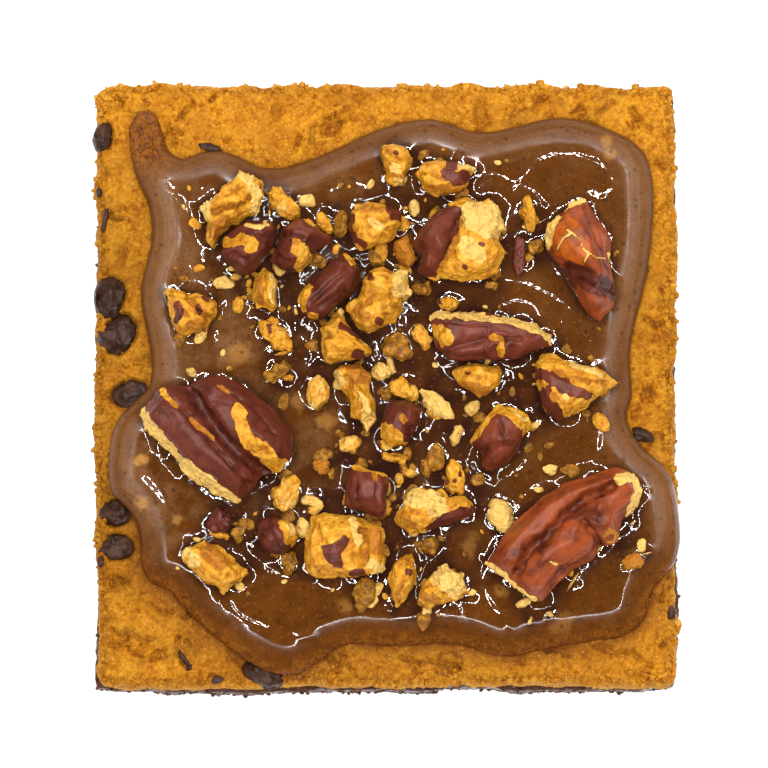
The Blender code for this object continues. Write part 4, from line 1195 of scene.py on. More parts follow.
# How each nut looks from above. A mark is a finish, a half width and the points that it runs along; with no
# half width it fills the points' outline. A furrow is a half width, a depth and its points.
plainNut = {"base": "gold", "tone": 0.2, "mauve": 0.2, "crumbly": 1.0, "darkness": 0.65}
nutLooks = {}
nutLooks["pecan_half_left"] = {
    "base": "skin", "tone": 0.03, "mauve": 0.26,
    "marks": (
        ("pale", 0.75, (-32.2, -4.2), (-30.6, -6.4), (-28.4, -9.0), (-26.0, -11.2), (-23.6, -13.0),
         (-21.2, -15.0), (-19.8, -15.9)),
        ("pale", 0.5, (-27.0, -11.6), (-24.6, -12.8)),
        ("gold", 0.45, (-29.2, -1.2), (-28.8, -2.2), (-27.4, -3.2)),
        ("amber", 0.32, (-25.4, -5.0), (-24.6, -5.9), (-22.6, -7.6)),
        ("amber", 0.3, (-22.0, -0.6), (-20.6, -1.6)),
        ("gold", 1.0, (-19.4, -4.2), (-19.0, -6.0), (-18.2, -8.2)),
        ("gold", 1.1, (-17.2, -8.6), (-15.4, -10.2), (-13.9, -11.3)),
        ("dark", 0.35, (-25.8, -0.8), (-24.0, -3.8), (-22.4, -6.0), (-20.8, -8.0), (-18.4, -10.2)),
    ),
    "furrows": (
        (0.6, 0.9, (-25.8, -0.8), (-24.0, -3.8), (-22.4, -6.0), (-20.8, -8.0), (-18.0, -10.6),
         (-15.6, -12.3)),
        (0.35, 0.5, (-28.6, -2.0), (-24.4, -6.4), (-20.6, -10.8), (-18.2, -13.4)),
        (0.3, 0.4, (-22.0, -0.4), (-17.6, -3.4), (-14.6, -6.8)),
    ),
}
nutLooks["pecan_half_right"] = {
    "base": "skin", "tone": 0.74, "mauve": 0.06,
    "marks": (
        ("pale", 0.5, (12.3, -23.6), (14.4, -24.9), (16.4, -26.8), (18.8, -28.6)),
        ("pale", 0.8, (29.6, -12.8), (31.8, -12.4), (32.7, -14.0), (32.2, -16.0), (31.4, -17.1)),
        ("amber", 0.28, (28.0, -20.2), (28.6, -19.4), (29.5, -19.9), (29.2, -20.8), (28.4, -20.9)),
        ("dark", 0.22, (17.2, -24.0), (19.0, -21.2), (21.6, -18.9)),
        ("dark", 1.0, (22.8, -17.4), (25.2, -16.8), (26.9, -18.3)),
        ("pale", 0.18, (20.9, -23.6), (21.8, -24.0)),
    ),
    "furrows": (
        (0.5, 1.1, (16.6, -25.0), (18.4, -21.6), (20.0, -20.4), (21.6, -18.8), (22.8, -17.4), (24.6, -16.0),
         (26.6, -14.6), (29.0, -13.6)),
        (0.35, 0.7, (25.0, -18.2), (26.6, -20.0), (27.4, -21.3)), (0.45, 0.6, (22.4, -24.6), (21.6, -26.6)),
        (0.7, 0.5, (24.2, -16.6), (27.0, -18.0)),
    ),
}
nutLooks["pecan_quarter_back_right"] = {
    "base": "skin", "tone": 0.78, "mauve": 0.1, "darkness": 1.0,
    "marks": (
        ("orange", 0, (21.0, 20.4), (23.0, 21.8), (24.6, 20.6), (26.2, 16.4), (25.2, 14.6), (21.8, 16.4),
         (20.6, 18.4)),
        ("pale", 0.5, (22.8, 22.5), (24.0, 23.3), (25.4, 23.8)),
        ("pale", 0.9, (20.2, 17.6), (20.5, 19.2), (21.4, 21.0)),
        ("dark", 1.35, (23.4, 14.0), (26.0, 13.0), (29.4, 11.6)),
        ("pale", 0.3, (20.8, 16.6), (22.4, 14.0), (24.2, 10.8)),
        ("pale", 0.2, (28.6, 16.6), (29.4, 14.6), (29.8, 12.6)),
        ("pale", 0.12, (23.2, 19.4), (24.8, 18.2), (25.2, 16.9), (25.9, 16.4), (25.3, 15.2)),
        ("pale", 0.09, (25.2, 16.9), (27.0, 15.8), (28.2, 15.9)),
        ("pale", 0.14, (21.8, 17.0), (22.6, 18.4), (23.4, 18.8)),
    ),
    "furrows": (
        (0.8, 0.7, (23.2, 14.4), (26.0, 13.4), (29.6, 11.9)),
        (0.35, 0.4, (25.4, 22.6), (26.8, 18.4), (28.4, 15.0)),
    ),
}
nutLooks["pecan_slice_middle"] = {
    "base": "skin", "tone": 0.25, "mauve": 0.65,
    "marks": (
        ("pale", 0.65, (5.6, 8.7), (10.0, 8.6), (14.0, 8.0), (18.0, 7.2), (20.8, 6.0)),
        ("pale", 0.4, (21.0, 5.8), (21.2, 4.8)), ("gold", 0.8, (6.2, 6.6), (7.2, 5.8), (7.6, 5.2)),
        ("gold", 0.5, (13.6, 5.6), (14.6, 5.2), (14.6, 3.6)),
    ),
    "furrows": (
        (0.4, 0.5, (8.0, 4.2), (12.0, 5.2), (17.0, 5.4)), (0.25, 0.35, (12.6, 3.2), (13.0, 6.8)),
        (0.3, 0.4, (6.8, 7.6), (12.0, 7.2), (19.0, 5.6)),
    ),
}
nutLooks["pecan_split_back"] = {
    "tone": 0.15, "mauve": 0.45, "crumbly": 2.0,
    "marks": (
        ("skin", 0, (2.2, 18.1), (4.2, 20.4), (7.2, 22.8), (9.6, 22.4), (9.0, 19.6), (7.6, 16.6),
         (6.0, 13.6), (3.2, 13.6)),
        ("pale", 2.2, (11.4, 21.4), (13.0, 20.6)), ("pale", 1.1, (10.0, 17.6), (11.8, 16.0)),
        ("skin", 0.3, (11.9, 17.6), (12.2, 17.5)), ("skin", 0.3, (9.8, 14.6), (10.0, 14.5)),
        ("pale", 0.5, (14.0, 22.0), (13.2, 23.2)),
    ),
    "furrows": (
        (0.5, 0.7, (9.4, 21.6), (8.6, 18.4), (6.6, 14.6)), (0.3, 0.6, (13.2, 18.8), (14.6, 18.4)),
        (0.3, 0.5, (10.8, 15.0), (13.4, 16.6)),
    ),
}
nutLooks["pecan_leaning"] = {
    "base": "skin", "tone": 0.05, "mauve": 0.25,
    "marks": (
        ("gold", 0.7, (-11.6, 9.2), (-11.2, 10.8), (-10.6, 12.2)),
        ("gold", 0.35, (-5.6, 16.4), (-4.6, 15.3)), ("gold", 0.4, (-10.2, 8.4), (-9.4, 8.2)),
    ),
    "furrows": (
        (0.45, 0.5, (-10.0, 10.2), (-7.4, 12.6), (-5.2, 14.6)), (0.3, 0.4, (-8.8, 9.4), (-5.6, 12.0)),
    ),
}
nutLooks["pecan_crumbled_back_left"] = {
    "tone": 0.3, "crumbly": 2.0,
    "marks": (
        ("pale", 0.7, (-17.4, 25.0), (-17.2, 21.8)), ("pale", 0.5, (-23.8, 23.2), (-23.7, 21.4)),
        ("amber", 0.9, (-22.6, 19.4), (-21.4, 20.8)), ("pale", 0.6, (-19.4, 26.8), (-18.0, 26.2)),
    ),
    "furrows": (
        (0.32, 1.0, (-22.8, 22.0), (-20.3, 22.6), (-19.0, 22.6), (-18.1, 23.9)),
        (0.3, 0.5, (-21.4, 24.0), (-19.8, 25.2)),
    ),
}
nutLooks["pecan_dark_back_left"] = {
    "base": "skin", "tone": 0.02, "mauve": 0.45,
    "marks": (
        ("gold", 0.75, (-20.7, 18.0), (-19.2, 18.2), (-17.6, 17.8), (-17.8, 17.0)),
        ("pale", 0.32, (-18.4, 20.3), (-16.6, 19.8), (-15.8, 20.2), (-16.2, 21.0)),
    ),
    "furrows": ((0.4, 0.6, (-20.6, 16.4), (-18.2, 15.2)), (0.35, 0.5, (-17.0, 18.8), (-15.4, 17.4))),
}
nutLooks["pecan_dark_back"] = {
    "base": "skin", "tone": 0.1, "mauve": 0.4,
    "marks": (
        ("gold", 0.9, (-11.8, 17.6), (-11.0, 16.4), (-11.4, 14.8)),
        ("gold", 0.5, (-10.6, 21.0), (-9.8, 20.6)),
    ),
    "furrows": ((0.35, 0.5, (-14.2, 19.0), (-11.0, 18.6)), (0.3, 0.4, (-14.6, 16.4), (-13.0, 15.2))),
}
nutLooks["pecan_round_back"] = {
    "tone": 0.25, "mauve": 0.3,
    "marks": (
        ("skin", 0.45, (-4.9, 21.4), (-5.0, 19.4), (-4.2, 18.2), (-3.2, 17.6)),
        ("skin", 0.8, (0.4, 22.4), (1.3, 21.6)), ("amber", 0.6, (-3.0, 22.6), (-1.0, 22.2)),
        ("pale", 0.5, (-2.2, 20.8), (-1.2, 20.0)),
    ),
    "furrows": ((0.35, 0.5, (-3.6, 21.4), (-1.4, 20.6), (0.6, 21.0)),),
}
nutLooks["pecan_pale_back"] = {
    "marks": (
        ("pale", 0.7, (0.8, 27.4), (1.2, 26.2)), ("skin", 0.28, (0.7, 29.7), (1.1, 29.6)),
        ("amber", 0.3, (0.4, 26.8), (1.6, 26.6)),
    ),
    "furrows": ((0.3, 0.4, (-0.6, 29.8), (1.8, 28.6)),),
}
nutLooks["pecan_pointed_back"] = {
    "tone": 0.12, "mauve": 0.45,
    "marks": (
        ("skin", 0.75, (8.2, 28.2), (7.6, 26.9), (8.9, 26.0), (10.0, 26.5)),
        ("pale", 0.45, (9.4, 28.0), (11.2, 27.8)), ("amber", 0.5, (5.6, 25.0), (7.6, 24.8)),
    ),
    "furrows": ((0.3, 0.4, (4.4, 27.0), (6.8, 26.4)),),
}
nutLooks["pecan_wedge_left"] = {
    "marks": (("amber", 0.5, (-16.8, 13.2), (-16.6, 10.4)), ("pale", 0.35, (-15.0, 13.6), (-14.8, 10.2))),
    "furrows": ((0.28, 0.4, (-15.9, 15.0), (-15.6, 10.4)),),
}
nutLooks["pecan_chip_left"] = {
    "tone": 0.25, "mauve": 0.15, "crumbly": 1.6,
    "marks": (
        ("skin", 0.5, (-27.6, 9.8), (-26.9, 9.0), (-27.5, 7.9)), ("skin", 0.35, (-24.8, 9.8), (-24.4, 8.8)),
        ("skin", 0.3, (-24.0, 10.8), (-23.5, 10.6)), ("amber", 0.5, (-25.8, 7.0), (-24.2, 7.6)),
    ),
    "furrows": (
        (0.35, 0.6, (-26.0, 11.4), (-24.8, 9.0), (-23.4, 8.2)), (0.3, 0.4, (-26.4, 9.2), (-25.6, 6.8)),
    ),
}
nutLooks["pecan_gold_middle"] = {
    "mauve": 0.3, "crumbly": 1.6,
    "marks": (
        ("skin", 0.45, (-1.3, 7.7), (-1.0, 7.5)), ("skin", 0.4, (-2.5, 13.7), (-2.3, 13.2)),
        ("pale", 1.1, (1.6, 13.6), (2.0, 11.8)), ("amber", 0.7, (-4.2, 9.4), (-3.0, 8.2)),
    ),
    "furrows": ((0.35, 0.5, (-4.6, 9.4), (-1.6, 10.6), (1.6, 10.8)), (0.3, 0.4, (-0.8, 14.0), (0.6, 12.2))),
}
nutLooks["pecan_gold_left"] = {
    "mauve": 0.4,
    "marks": (
        ("skin", 0.6, (-4.3, 3.4), (-3.6, 3.2)), ("skin", 0.42, (-6.2, 7.1), (-4.8, 6.5), (-3.0, 5.2)),
        ("pale", 0.4, (-6.0, 9.0), (-5.4, 8.2)),
    ),
    "furrows": ((0.3, 0.4, (-8.0, 6.0), (-5.6, 4.8)),),
}
nutLooks["pecan_tailed"] = {
    "marks": (
        ("amber", 0, (-5.6, 2.1), (-2.8, 2.0), (-2.6, -0.2), (-4.6, -0.6)),
        ("pale", 0.8, (-3.6, -2.2), (-2.6, -4.4), (-2.7, -6.4)), ("pale", 0.5, (-7.0, 1.2), (-6.2, -0.2)),
    ),
    "furrows": ((0.35, 0.5, (-5.6, 0.8), (-4.2, -1.6), (-3.4, -4.4)),),
}
nutLooks["pecan_rounded_middle"] = {
    "tone": 0.3,
    "marks": (("amber", 0.6, (10.2, -0.6), (12.6, -1.2)), ("skin", 0.22, (10.0, 1.0), (10.3, 0.9))),
    "furrows": ((0.3, 0.35, (9.4, 0.6), (12.6, 0.4)),),
}
nutLooks["pecan_wedge_right"] = {
    "tone": 0.15, "mauve": 0.35,
    "marks": (
        ("skin", 0.75, (19.3, 0.8), (21.5, 0.2), (23.5, -1.4), (25.6, -2.0)),
        ("skin", 0.85, (20.2, -1.6), (21.0, -3.6), (22.2, -4.8)),
        ("amber", 0.4, (21.1, -2.0), (21.4, -2.4)), ("pale", 0.32, (22.9, -2.1), (23.1, -2.4)),
        ("gold", 0.5, (23.0, -4.2), (26.4, -2.8)), ("pale", 0.4, (24.0, 2.2), (27.6, 0.8)),
    ),
    "furrows": ((0.4, 0.5, (20.0, 1.4), (24.0, 0.2), (28.0, -0.4)),),
}
nutLooks["pecan_dark_middle"] = {
    "base": "skin", "tone": 0.02, "mauve": 0.25,
    "marks": (
        ("gold", 1.1, (-0.6, -6.4), (0.6, -7.4), (1.2, -7.8)), ("amber", 0.6, (1.9, -4.9), (2.1, -5.2)),
    ),
    "furrows": ((0.4, 0.5, (2.2, -3.2), (2.8, -7.0)),),
}
nutLooks["pecan_faceted_right"] = {
    "base": "skin", "tone": 0.3, "mauve": 0.25,
    "marks": (
        ("gold", 0.55, (10.7, -7.6), (12.4, -5.2), (14.0, -3.4)),
        ("gold", 0.95, (14.6, -3.5), (16.8, -4.4), (18.0, -6.0)), ("pale", 0.3, (16.4, -4.0), (17.8, -5.0)),
    ),
    "furrows": ((0.3, 0.5, (12.6, -8.6), (16.6, -8.0)), (0.25, 0.35, (14.2, -5.4), (15.2, -7.6))),
}
nutLooks["pecan_column"] = {
    "base": "skin", "mauve": 0.55,
    "marks": (
        ("gold", 0.42, (-4.5, -11.0), (-2.6, -11.6), (-0.2, -12.0)),
        ("amber", 0.3, (-1.8, -12.2), (-1.6, -12.8)),
    ),
    "furrows": ((0.3, 0.5, (-4.4, -12.4), (-4.3, -15.8)), (0.28, 0.5, (-1.4, -12.8), (-1.4, -16.8))),
}
nutLooks["pecan_flowered"] = {
    "tone": 0.1, "mauve": 0.3, "crumbly": 2.3,
    "marks": (
        ("pale", 1.4, (3.4, -15.2), (5.6, -15.6), (6.4, -16.6)),
        ("skin", 0.65, (5.4, -19.0), (8.0, -17.9), (10.9, -16.8)),
        ("amber", 0.5, (1.8, -17.2), (3.0, -18.8)),
    ),
    "furrows": ((0.3, 0.5, (2.6, -16.8), (5.2, -17.4), (7.4, -15.6)),),
}
nutLooks["pecan_block_front"] = {
    "tone": 0.1, "mauve": 0.35,
    "marks": (
        ("skin", 0, (-8.8, -21.4), (-7.4, -21.2), (-5.6, -20.0), (-5.0, -20.6), (-6.0, -22.4),
         (-6.0, -24.4), (-7.8, -24.0), (-8.4, -22.6)),
        ("amber", 0, (-2.8, -19.2), (-0.6, -19.4), (-0.6, -22.8), (-2.4, -22.4)),
        ("pale", 0.6, (-2.6, -23.8), (-1.2, -24.2)), ("skin", 0.45, (-4.6, -24.9), (-3.4, -24.9)),
        ("pale", 0.5, (-4.6, -18.0), (-3.8, -21.0)),
    ),
    "furrows": (
        (0.4, 0.7, (-3.2, -19.0), (-3.2, -21.4), (-3.2, -23.8)), (0.3, 0.4, (-9.6, -18.6), (-8.8, -20.8)),
    ),
}
nutLooks["pecan_dark_front"] = {
    "base": "skin", "tone": 0.02, "mauve": 0.3,
    "marks": (("gold", 1.0, (-13.2, -18.6), (-12.6, -20.4)), ("pale", 0.4, (-12.8, -18.8), (-12.4, -19.6))),
    "furrows": ((0.35, 0.5, (-15.8, -18.4), (-14.4, -21.6)),),
}
nutLooks["pecan_crumbled_front"] = {
    "tone": 0.3, "crumbly": 2.0,
    "marks": (
        ("pale", 0.8, (-26.0, -22.4), (-25.0, -23.4)), ("amber", 1.2, (-23.2, -22.2), (-21.8, -23.4)),
    ),
    "furrows": ((0.3, 0.5, (-24.6, -21.6), (-22.0, -24.6), (-20.4, -25.8)),),
}
nutLooks["pecan_diamond_front"] = {
    "tone": 0.15, "mauve": 0.3,
    "marks": (("skin", 0.45, (2.5, -24.8), (2.8, -24.9)), ("amber", 0.4, (1.2, -27.6), (1.8, -26.2))),
    "furrows": ((0.25, 0.4, (2.4, -23.0), (1.4, -28.6)),),
}
nutLooks["pecan_lobed_front"] = {
    "crumbly": 1.6,
    "marks": (("pale", 1.5, (7.0, -25.4), (8.8, -26.6)), ("amber", 0.6, (4.6, -27.8), (6.2, -28.6))),
    "furrows": ((0.3, 0.5, (5.4, -27.2), (7.6, -27.6), (9.2, -27.2)),),
}
nutShape = {
    "voxel": 0.21,
    "smoothing": {"skin": 14, "gold": 3},
    "skinWrinkle": 0.08,
    "skinFine": 0.025,
    "chunk": 0.11,
    "chunkSize": 1.3,
    "flake": 0.13,
    "flakeSize": 0.75,
    "skinStep": 0.07,
    "facetSize": 2.6,
    "facet": 0.24,
    "shelf": 0.24,
    "markBlur": 0.34,
    "filmLow": 0.4,
    "filmHigh": 1.9,
}


def softShape(node, settings, smoothing):
    # the node's shape, fine and even with its flat facets softened: points, normals and faces
    shape = openCopy(node)
    mesh = bpy.data.meshes.new("draft")
    shape.to_mesh(mesh)
    shape.free()
    draft = bpy.data.objects.new("draft", mesh)
    bpy.context.scene.collection.objects.link(draft)
    remesh = draft.modifiers.new("Remesh", "REMESH")
    remesh.mode = "VOXEL"
    remesh.voxel_size = settings["voxel"] * mm
    smooth = draft.modifiers.new("Smooth", "SMOOTH")
    smooth.factor = 0.5
    smooth.iterations = smoothing
    graph = bpy.context.evaluated_depsgraph_get()
    result = bpy.data.meshes.new_from_object(draft.evaluated_get(graph))
    bpy.data.objects.remove(draft)
    bpy.data.meshes.remove(mesh)
    points, normals = meshArrays(result)
    faces = [tuple(p.vertices) for p in result.polygons]
    bpy.data.meshes.remove(result)
    return points, normals, faces


def meshArrays(mesh):
    points = np.empty(len(mesh.vertices) * 3)
    mesh.vertices.foreach_get("co", points)
    normals = np.empty(len(mesh.vertices) * 3)
    mesh.vertices.foreach_get("normal", normals)
    return points.reshape(-1, 3) / mm, normals.reshape(-1, 3)


def longAxis(points):
    flat = points[:, :2] - points[:, :2].mean(axis=0)
    _, _, axes = np.linalg.svd(flat, full_matrices=False)
    return axes[0]


# The shares that each finish sets: orange is a brighter skin, and dark a blackish one laid along the furrows
# as painted shade in the grooves
finishes = {
    "skin": ("skin",),
    "pale": ("pale",),
    "amber": ("amber",),
    "gold": (),
    "orange": ("skin", "amber"),
    "dark": ("skin", "dark"),
}


def markShares(points, look, blur, seed):
    # how much of each finish shows at each point; what is left is plain golden flesh
    shares = {finish: np.full(len(points), float(look["base"] == finish)) for finish in finishes}
    wander = 0.5 * rough(points, 1.5, seed + 2, 3)
    for finish, reach, *line in look["marks"]:
        if reach:
            gap = nearLine(points, placed(line)) - reach + wander * min(reach, 0.8)
        else:
            gap = -depthInside(points, placed(line)) + 0.5 * wander
        share = 1 - smoothStep(gap, -blur / 2, blur / 2)
        for key in ("skin", "pale", "amber", "dark"):
            shares[key] = shares[key] * (1 - share) + share * (key in finishes[finish])
    return shares


def furrowDepth(points, look, seed):
    # how deep the drawn furrows are at each point
    total = np.zeros(len(points))
    wander = 0.25 * wandering(points, 1.4, seed + 12)
    for halfWidth, deep, *line in look["furrows"]:
        gap = nearLine(points[:, :2] + wander, placed(line))
        total = np.maximum(total, deep * bell(gap, halfWidth))
    return total


def skinRelief(points, middle, seed, settings):
    # wrinkles that run the long way, and their part that the colour follows
    u = longAxis(points)
    local = points - middle
    along, across = local[:, :2] @ u, local[:, :2] @ np.array((-u[1], u[0]))
    wrinkle = rough(np.column_stack((along / 4.2, across, local[:, 2])), 1.5, seed, 3, 0.55)
    return settings["skinWrinkle"] * wrinkle + settings["skinFine"] * ripple(points, 0.5, seed + 8), wrinkle


def fleshRelief(points, look, pale, seed, settings):
    # broken flakes and chunks on flat breaks, and the parts that the colour follows
    chunks = rough(points, settings["chunkSize"], seed + 4, 3, 0.55)
    gap, own, _ = grainField(points, settings["flakeSize"], seed + 6)
    flakes = (0.5 - gap) + 0.7 * (own - 0.5)
    _, shelf, facet = grainField(points, settings["facetSize"], seed + 15)
    broken = look["crumbly"] * (0.55 + 1.3 * pale)
    rise = broken * (settings["chunk"] * chunks + settings["flake"] * flakes) - settings["skinStep"]
    return rise + (settings["facet"] * facet + settings["shelf"] * (shelf - 0.5)), chunks, flakes


def makeNut(name, look, seed, settings):
    points, normals, faces = softShape(name, settings, settings["smoothing"][look["base"]])
    middle = points.mean(axis=0)
    shares = markShares(points, look, settings["markBlur"], seed)
    skin = shares["skin"]
    skinRise, wrinkle = skinRelief(points, middle, seed, settings)
    fleshRise, chunks, flakes = fleshRelief(points, look, shares["pale"], seed, settings)
    furrowed = furrowDepth(points, look, seed)
    up = smoothStep(normals[:, 2], -0.1, 0.45)
    rise = skin * skinRise + (1 - skin) * fleshRise
    points = points + normals * (rise - 0.8 * furrowed * up)[:, None]
    points[:, 2] -= 0.2 * furrowed * up
    height = np.where(skin > 0.5, 0.5 + 0.42 * wrinkle, 0.5 + 0.42 * chunks + 0.45 * flakes)
    surface = glazeTopAt(np.array((middle[:2],)))[0][0]
    # how low each point sits against the glaze: glaze coat there, with painted shade
    filmAndShade = smoothStep(points[:, 2] - surface + 0.5 * chunks, settings["filmLow"], settings["filmHigh"])
    values = {
        "skin": skin,
        "pale": shares["pale"],
        "amber": shares["amber"],
        # the furrows lie lower in this share, so that the colour darkens there: painted shade
        "rise": np.clip(height - 0.75 * np.minimum(furrowed, 1) * up, 0, 1),
        "filmAndShade": 1 - filmAndShade,
        # dark marks lower the skin's tone along the furrows: painted shade in the grooves
        "tone": look["tone"] * (1 - look["darkness"] * shares["dark"]),
        "mauve": np.full(len(points), look["mauve"]),
    }
    return makePiece(name.replace("pecan", "nut"), points, faces, nutMaterial, values)


nutPieces = {}
for number, name in enumerate(nutNames):
    piece = makeNut(name, {**plainNut, **nutLooks[name]}, 20 * number, nutShape)
    settle(piece, "pecan", name)
    nutPieces[name] = piece
print("nuts:", sum(len(p.data.polygons) for p in nutPieces.values()), "faces")

# The small nut crumbs that lie in the glaze: x, y, length, width, turn, finish. A few thin pale slivers
# among them are painted highlights standing for glints of light in the glaze
nutCrumbs = (
    (-13.6, 23.5, 5.8, 3.4, -50, "gold"), (-8.3, 20.8, 3.2, 2.0, -60, "gold"),
    (-6.2, 20.6, 3.8, 2.0, 88, "olive"), (2.2, 17.2, 4.6, 3.0, -75, "amber"),
    (18.3, 22.0, 5.0, 2.4, 95, "gold"), (17.1, 16.8, 6.2, 1.9, 88, "skin"),
    (1.0, 4.6, 4.0, 3.2, 60, "olive"), (4.3, 5.9, 3.8, 2.1, -65, "gold"), (7.9, 10.3, 2.6, 2.2, 0, "gold"),
    (4.4, 12.2, 2.2, 2.0, 0, "olive"), (-13.3, -14.5, 4.8, 3.8, 85, "gold"),
    (-14.7, 6.1, 5.6, 3.2, -45, "gold"), (-14.4, 1.5, 2.6, 2.4, 0, "olive"),
    (-9.2, -1.3, 4.8, 3.2, 85, "gold"), (-0.9, 1.5, 2.8, 2.4, 60, "pale"),
    (1.7, -0.8, 3.6, 2.8, -15, "gold"), (6.2, -2.9, 6.0, 2.6, -40, "pale"),
    (8.7, -7.0, 3.2, 1.6, 65, "pale"), (0.9, -9.8, 3.8, 1.6, -5, "gold"),
    (6.0, -9.8, 3.6, 2.6, 85, "olive"), (8.8, -12.4, 5.0, 2.4, -75, "gold"),
    (-5.0, -8.0, 3.0, 2.2, 10, "gold"), (14.7, -17.6, 4.2, 3.6, -40, "pale"),
    (-21.8, -18.2, 3.4, 3.0, 0, "skin"), (-12.9, -23.2, 2.8, 2.2, -60, "olive"),
    (-3.1, -27.5, 4.6, 3.2, 85, "olive"), (-8.7, -11.0, 2.6, 1.8, -30, "amber"),
    (-9.9, -15.5, 3.0, 1.6, -25, "pale"), (5.3, -21.2, 2.6, 2.2, 0, "olive"),
    (19.3, 17.7, 2.4, 1.8, 20, "olive"), (-13.6, 3.9, 2.6, 0.5, 15, "gold"),
    (-13.0, 0.6, 1.4, 1.0, 0, "gold"), (0.3, 2.2, 2.8, 1.0, -75, "pale"),
    (17.4, -28.7, 2.2, 1.2, 30, "pale"), (13.4, 12.6, 1.8, 1.2, 0, "olive"),
    (2.8, -11.8, 2.0, 1.4, 0, "gold"), (-19.3, -19.3, 2.6, 1.6, 30, "olive"),
    # the five thin pale slivers from x 23.9, y -25.9 on are painted highlights: glints of light in the glaze
    # beside the right nut, made as crumbs
    (-22.0, -19.8, 2.8, 1.0, -10, "gold"), (23.9, -25.9, 3.2, 0.42, 57, "pale"),
    (21.0, -30.2, 1.0, 0.8, 0, "pale"), (18.4, -30.9, 1.3, 0.5, 65, "pale"),
    (31.8, -18.2, 1.0, 0.3, 30, "pale"), (33.5, -22.2, 1.5, 0.25, 12, "pale"),
    (31.6, -23.3, 2.8, 2.2, 30, "amber"),
)
crumbLook = {
    "height": 0.85,
    "lift": 0.45,
    "scraps": 420,
    "scrapSizes": (0.28, 1.25),
    "scrapReach": 7.5,
    "scrapDepth": 3.0,
    "paleShare": 0.25,
    "oliveShare": 0.55,
    "seed": 21,
    "planes": 9,
    "planeNear": 0.6,
    "planeFar": 0.98,
    "rough": 0.1,
    "bits": 3,
    "core": (0.92, 0.84),
    "bitReach": (0.36, 0.3),
    "bitSizes": (0.42, 0.72),
    "bitLongest": 1.4,
    "finest": 4,
    "largeScrap": 0.7,
}


def ballShape(level):
    shape = bmesh.new()
    bmesh.ops.create_icosphere(shape, subdivisions=level, radius=1.0)
    points = np.array([tuple(v.co) for v in shape.verts])
    faces = [tuple(v.index for v in face.verts) for face in shape.faces]
    shape.free()
    return points, faces


def chipped(ball, draw):
    # a ball cut by planes at chance distances, so that it has flat broken faces
    facing = draw.normal(size=(crumbLook["planes"], 3))
    facing /= np.linalg.norm(facing, axis=1)[:, None]
    away = draw.uniform(crumbLook["planeNear"], crumbLook["planeFar"], crumbLook["planes"])
    lean = ball @ facing.T
    reach = np.where(lean > 0.05, away / np.maximum(lean, 0.05), 9.0).min(axis=1)
    return ball * np.minimum(reach, 1.0)[:, None]


def scrapFinish(luck):
    if luck < crumbLook["paleShare"]:
        return "pale"
    return "olive" if luck > 1 - crumbLook["oliveShare"] else "gold"


def crumbRows(draw):
    rows = []
    for x, y, length, width, turn, finish in nutCrumbs:
        height = crumbLook["height"] * width + 0.5
        rows.append((x + toppingsX, y, length, width, height, turn, finish, crumbLook["finest"]))
    hearts = np.array([nodePoints(name).mean(axis=0)[:2] for name in nutNames])
    smallest, largest = crumbLook["scrapSizes"]
    for _ in range(crumbLook["scraps"]):
        heart = hearts[draw.randint(len(hearts))]
        x, y = heart + draw.normal(size=2) * crumbLook["scrapReach"] * 0.5
        size = smallest + (largest - smallest) * draw.uniform() ** 2.5
        finish = scrapFinish(draw.uniform())
        if depthInside(np.array(((x, y),)), glazeRing)[0] > crumbLook["scrapDepth"]:
            level = 3 if size > crumbLook["largeScrap"] else 2
            rows.append((x, y, 2.2 * size, 1.5 * size, 1.3 * size, draw.uniform(0, 180), finish, level))
    return rows


def bitsOf(row, draw):
    # a placed crumb is a cluster of broken bits, a scrap is a single one
    x, y, length, width, height, turn, _, level = row
    if level < crumbLook["finest"]:
        return [(x, y, length, width, height, turn, level)]
    along = heading(math.radians(turn))
    coreLength, coreWidth = crumbLook["core"]
    far, wide = crumbLook["bitReach"]
    bits = [(x, y, coreLength * length, coreWidth * width, height, turn, level)]
    for _ in range(crumbLook["bits"]):
        part = draw.uniform(-far, far) * length
        aside = draw.uniform(-wide, wide) * width
        size = draw.uniform(*crumbLook["bitSizes"]) * width
        middle = np.array((x, y)) + along * part + np.array((-along[1], along[0])) * aside
        longer = size * draw.uniform(1.0, crumbLook["bitLongest"])
        bits.append((*middle, longer, size, size + 0.3 * height, draw.uniform(0, 180), level - 1))
    return bits


def crumbPoints(ball, bit, seed, draw):
    x, y, length, width, height, turn, _ = bit
    points = chipped(ball, draw) * (0.55 * length, 0.55 * width, 0.52 * height)
    normals = ball / np.linalg.norm(ball, axis=1)[:, None]
    _, own, _ = grainField(points, 0.55, seed)
    relief = 0.6 * rough(points, 0.9, seed + 3, 3) + 0.9 * (own - 0.5)
    points = points + normals * (crumbLook["rough"] * min(width, 2.2) * relief)[:, None]
    along = heading(math.radians(turn))
    flat = points[:, :1] * along + points[:, 1:2] * np.array((-along[1], along[0]))
    above = points[:, 2] + crumbLook["lift"] * height / 2
    return np.column_stack((flat + (x, y), above)), relief


def crumbShares(points, relief, filmAndShade, finish, tone, mauve, seed, draw):
    # how much of each finish shows on one bit
    plain = np.ones(len(points))
    patch = smoothStep(rough(points, 2.2, seed + 5, 2), 0.62, 0.8)
    return {
        "skin": plain if finish == "skin" else 0.9 * patch * (finish == "gold"),
        "pale": plain * (finish == "pale") + 0.5 * draw.uniform() * plain * (finish == "gold"),
        "amber": plain * (finish == "amber"),
        # lower in each bit's pits, which take the darker colour: painted shade
        "rise": np.clip(0.5 + 0.5 * relief, 0, 1),
        "filmAndShade": np.maximum(filmAndShade, 0.7 * (finish == "olive")),
        "tone": tone * plain,
        "mauve": mauve * plain,
    }


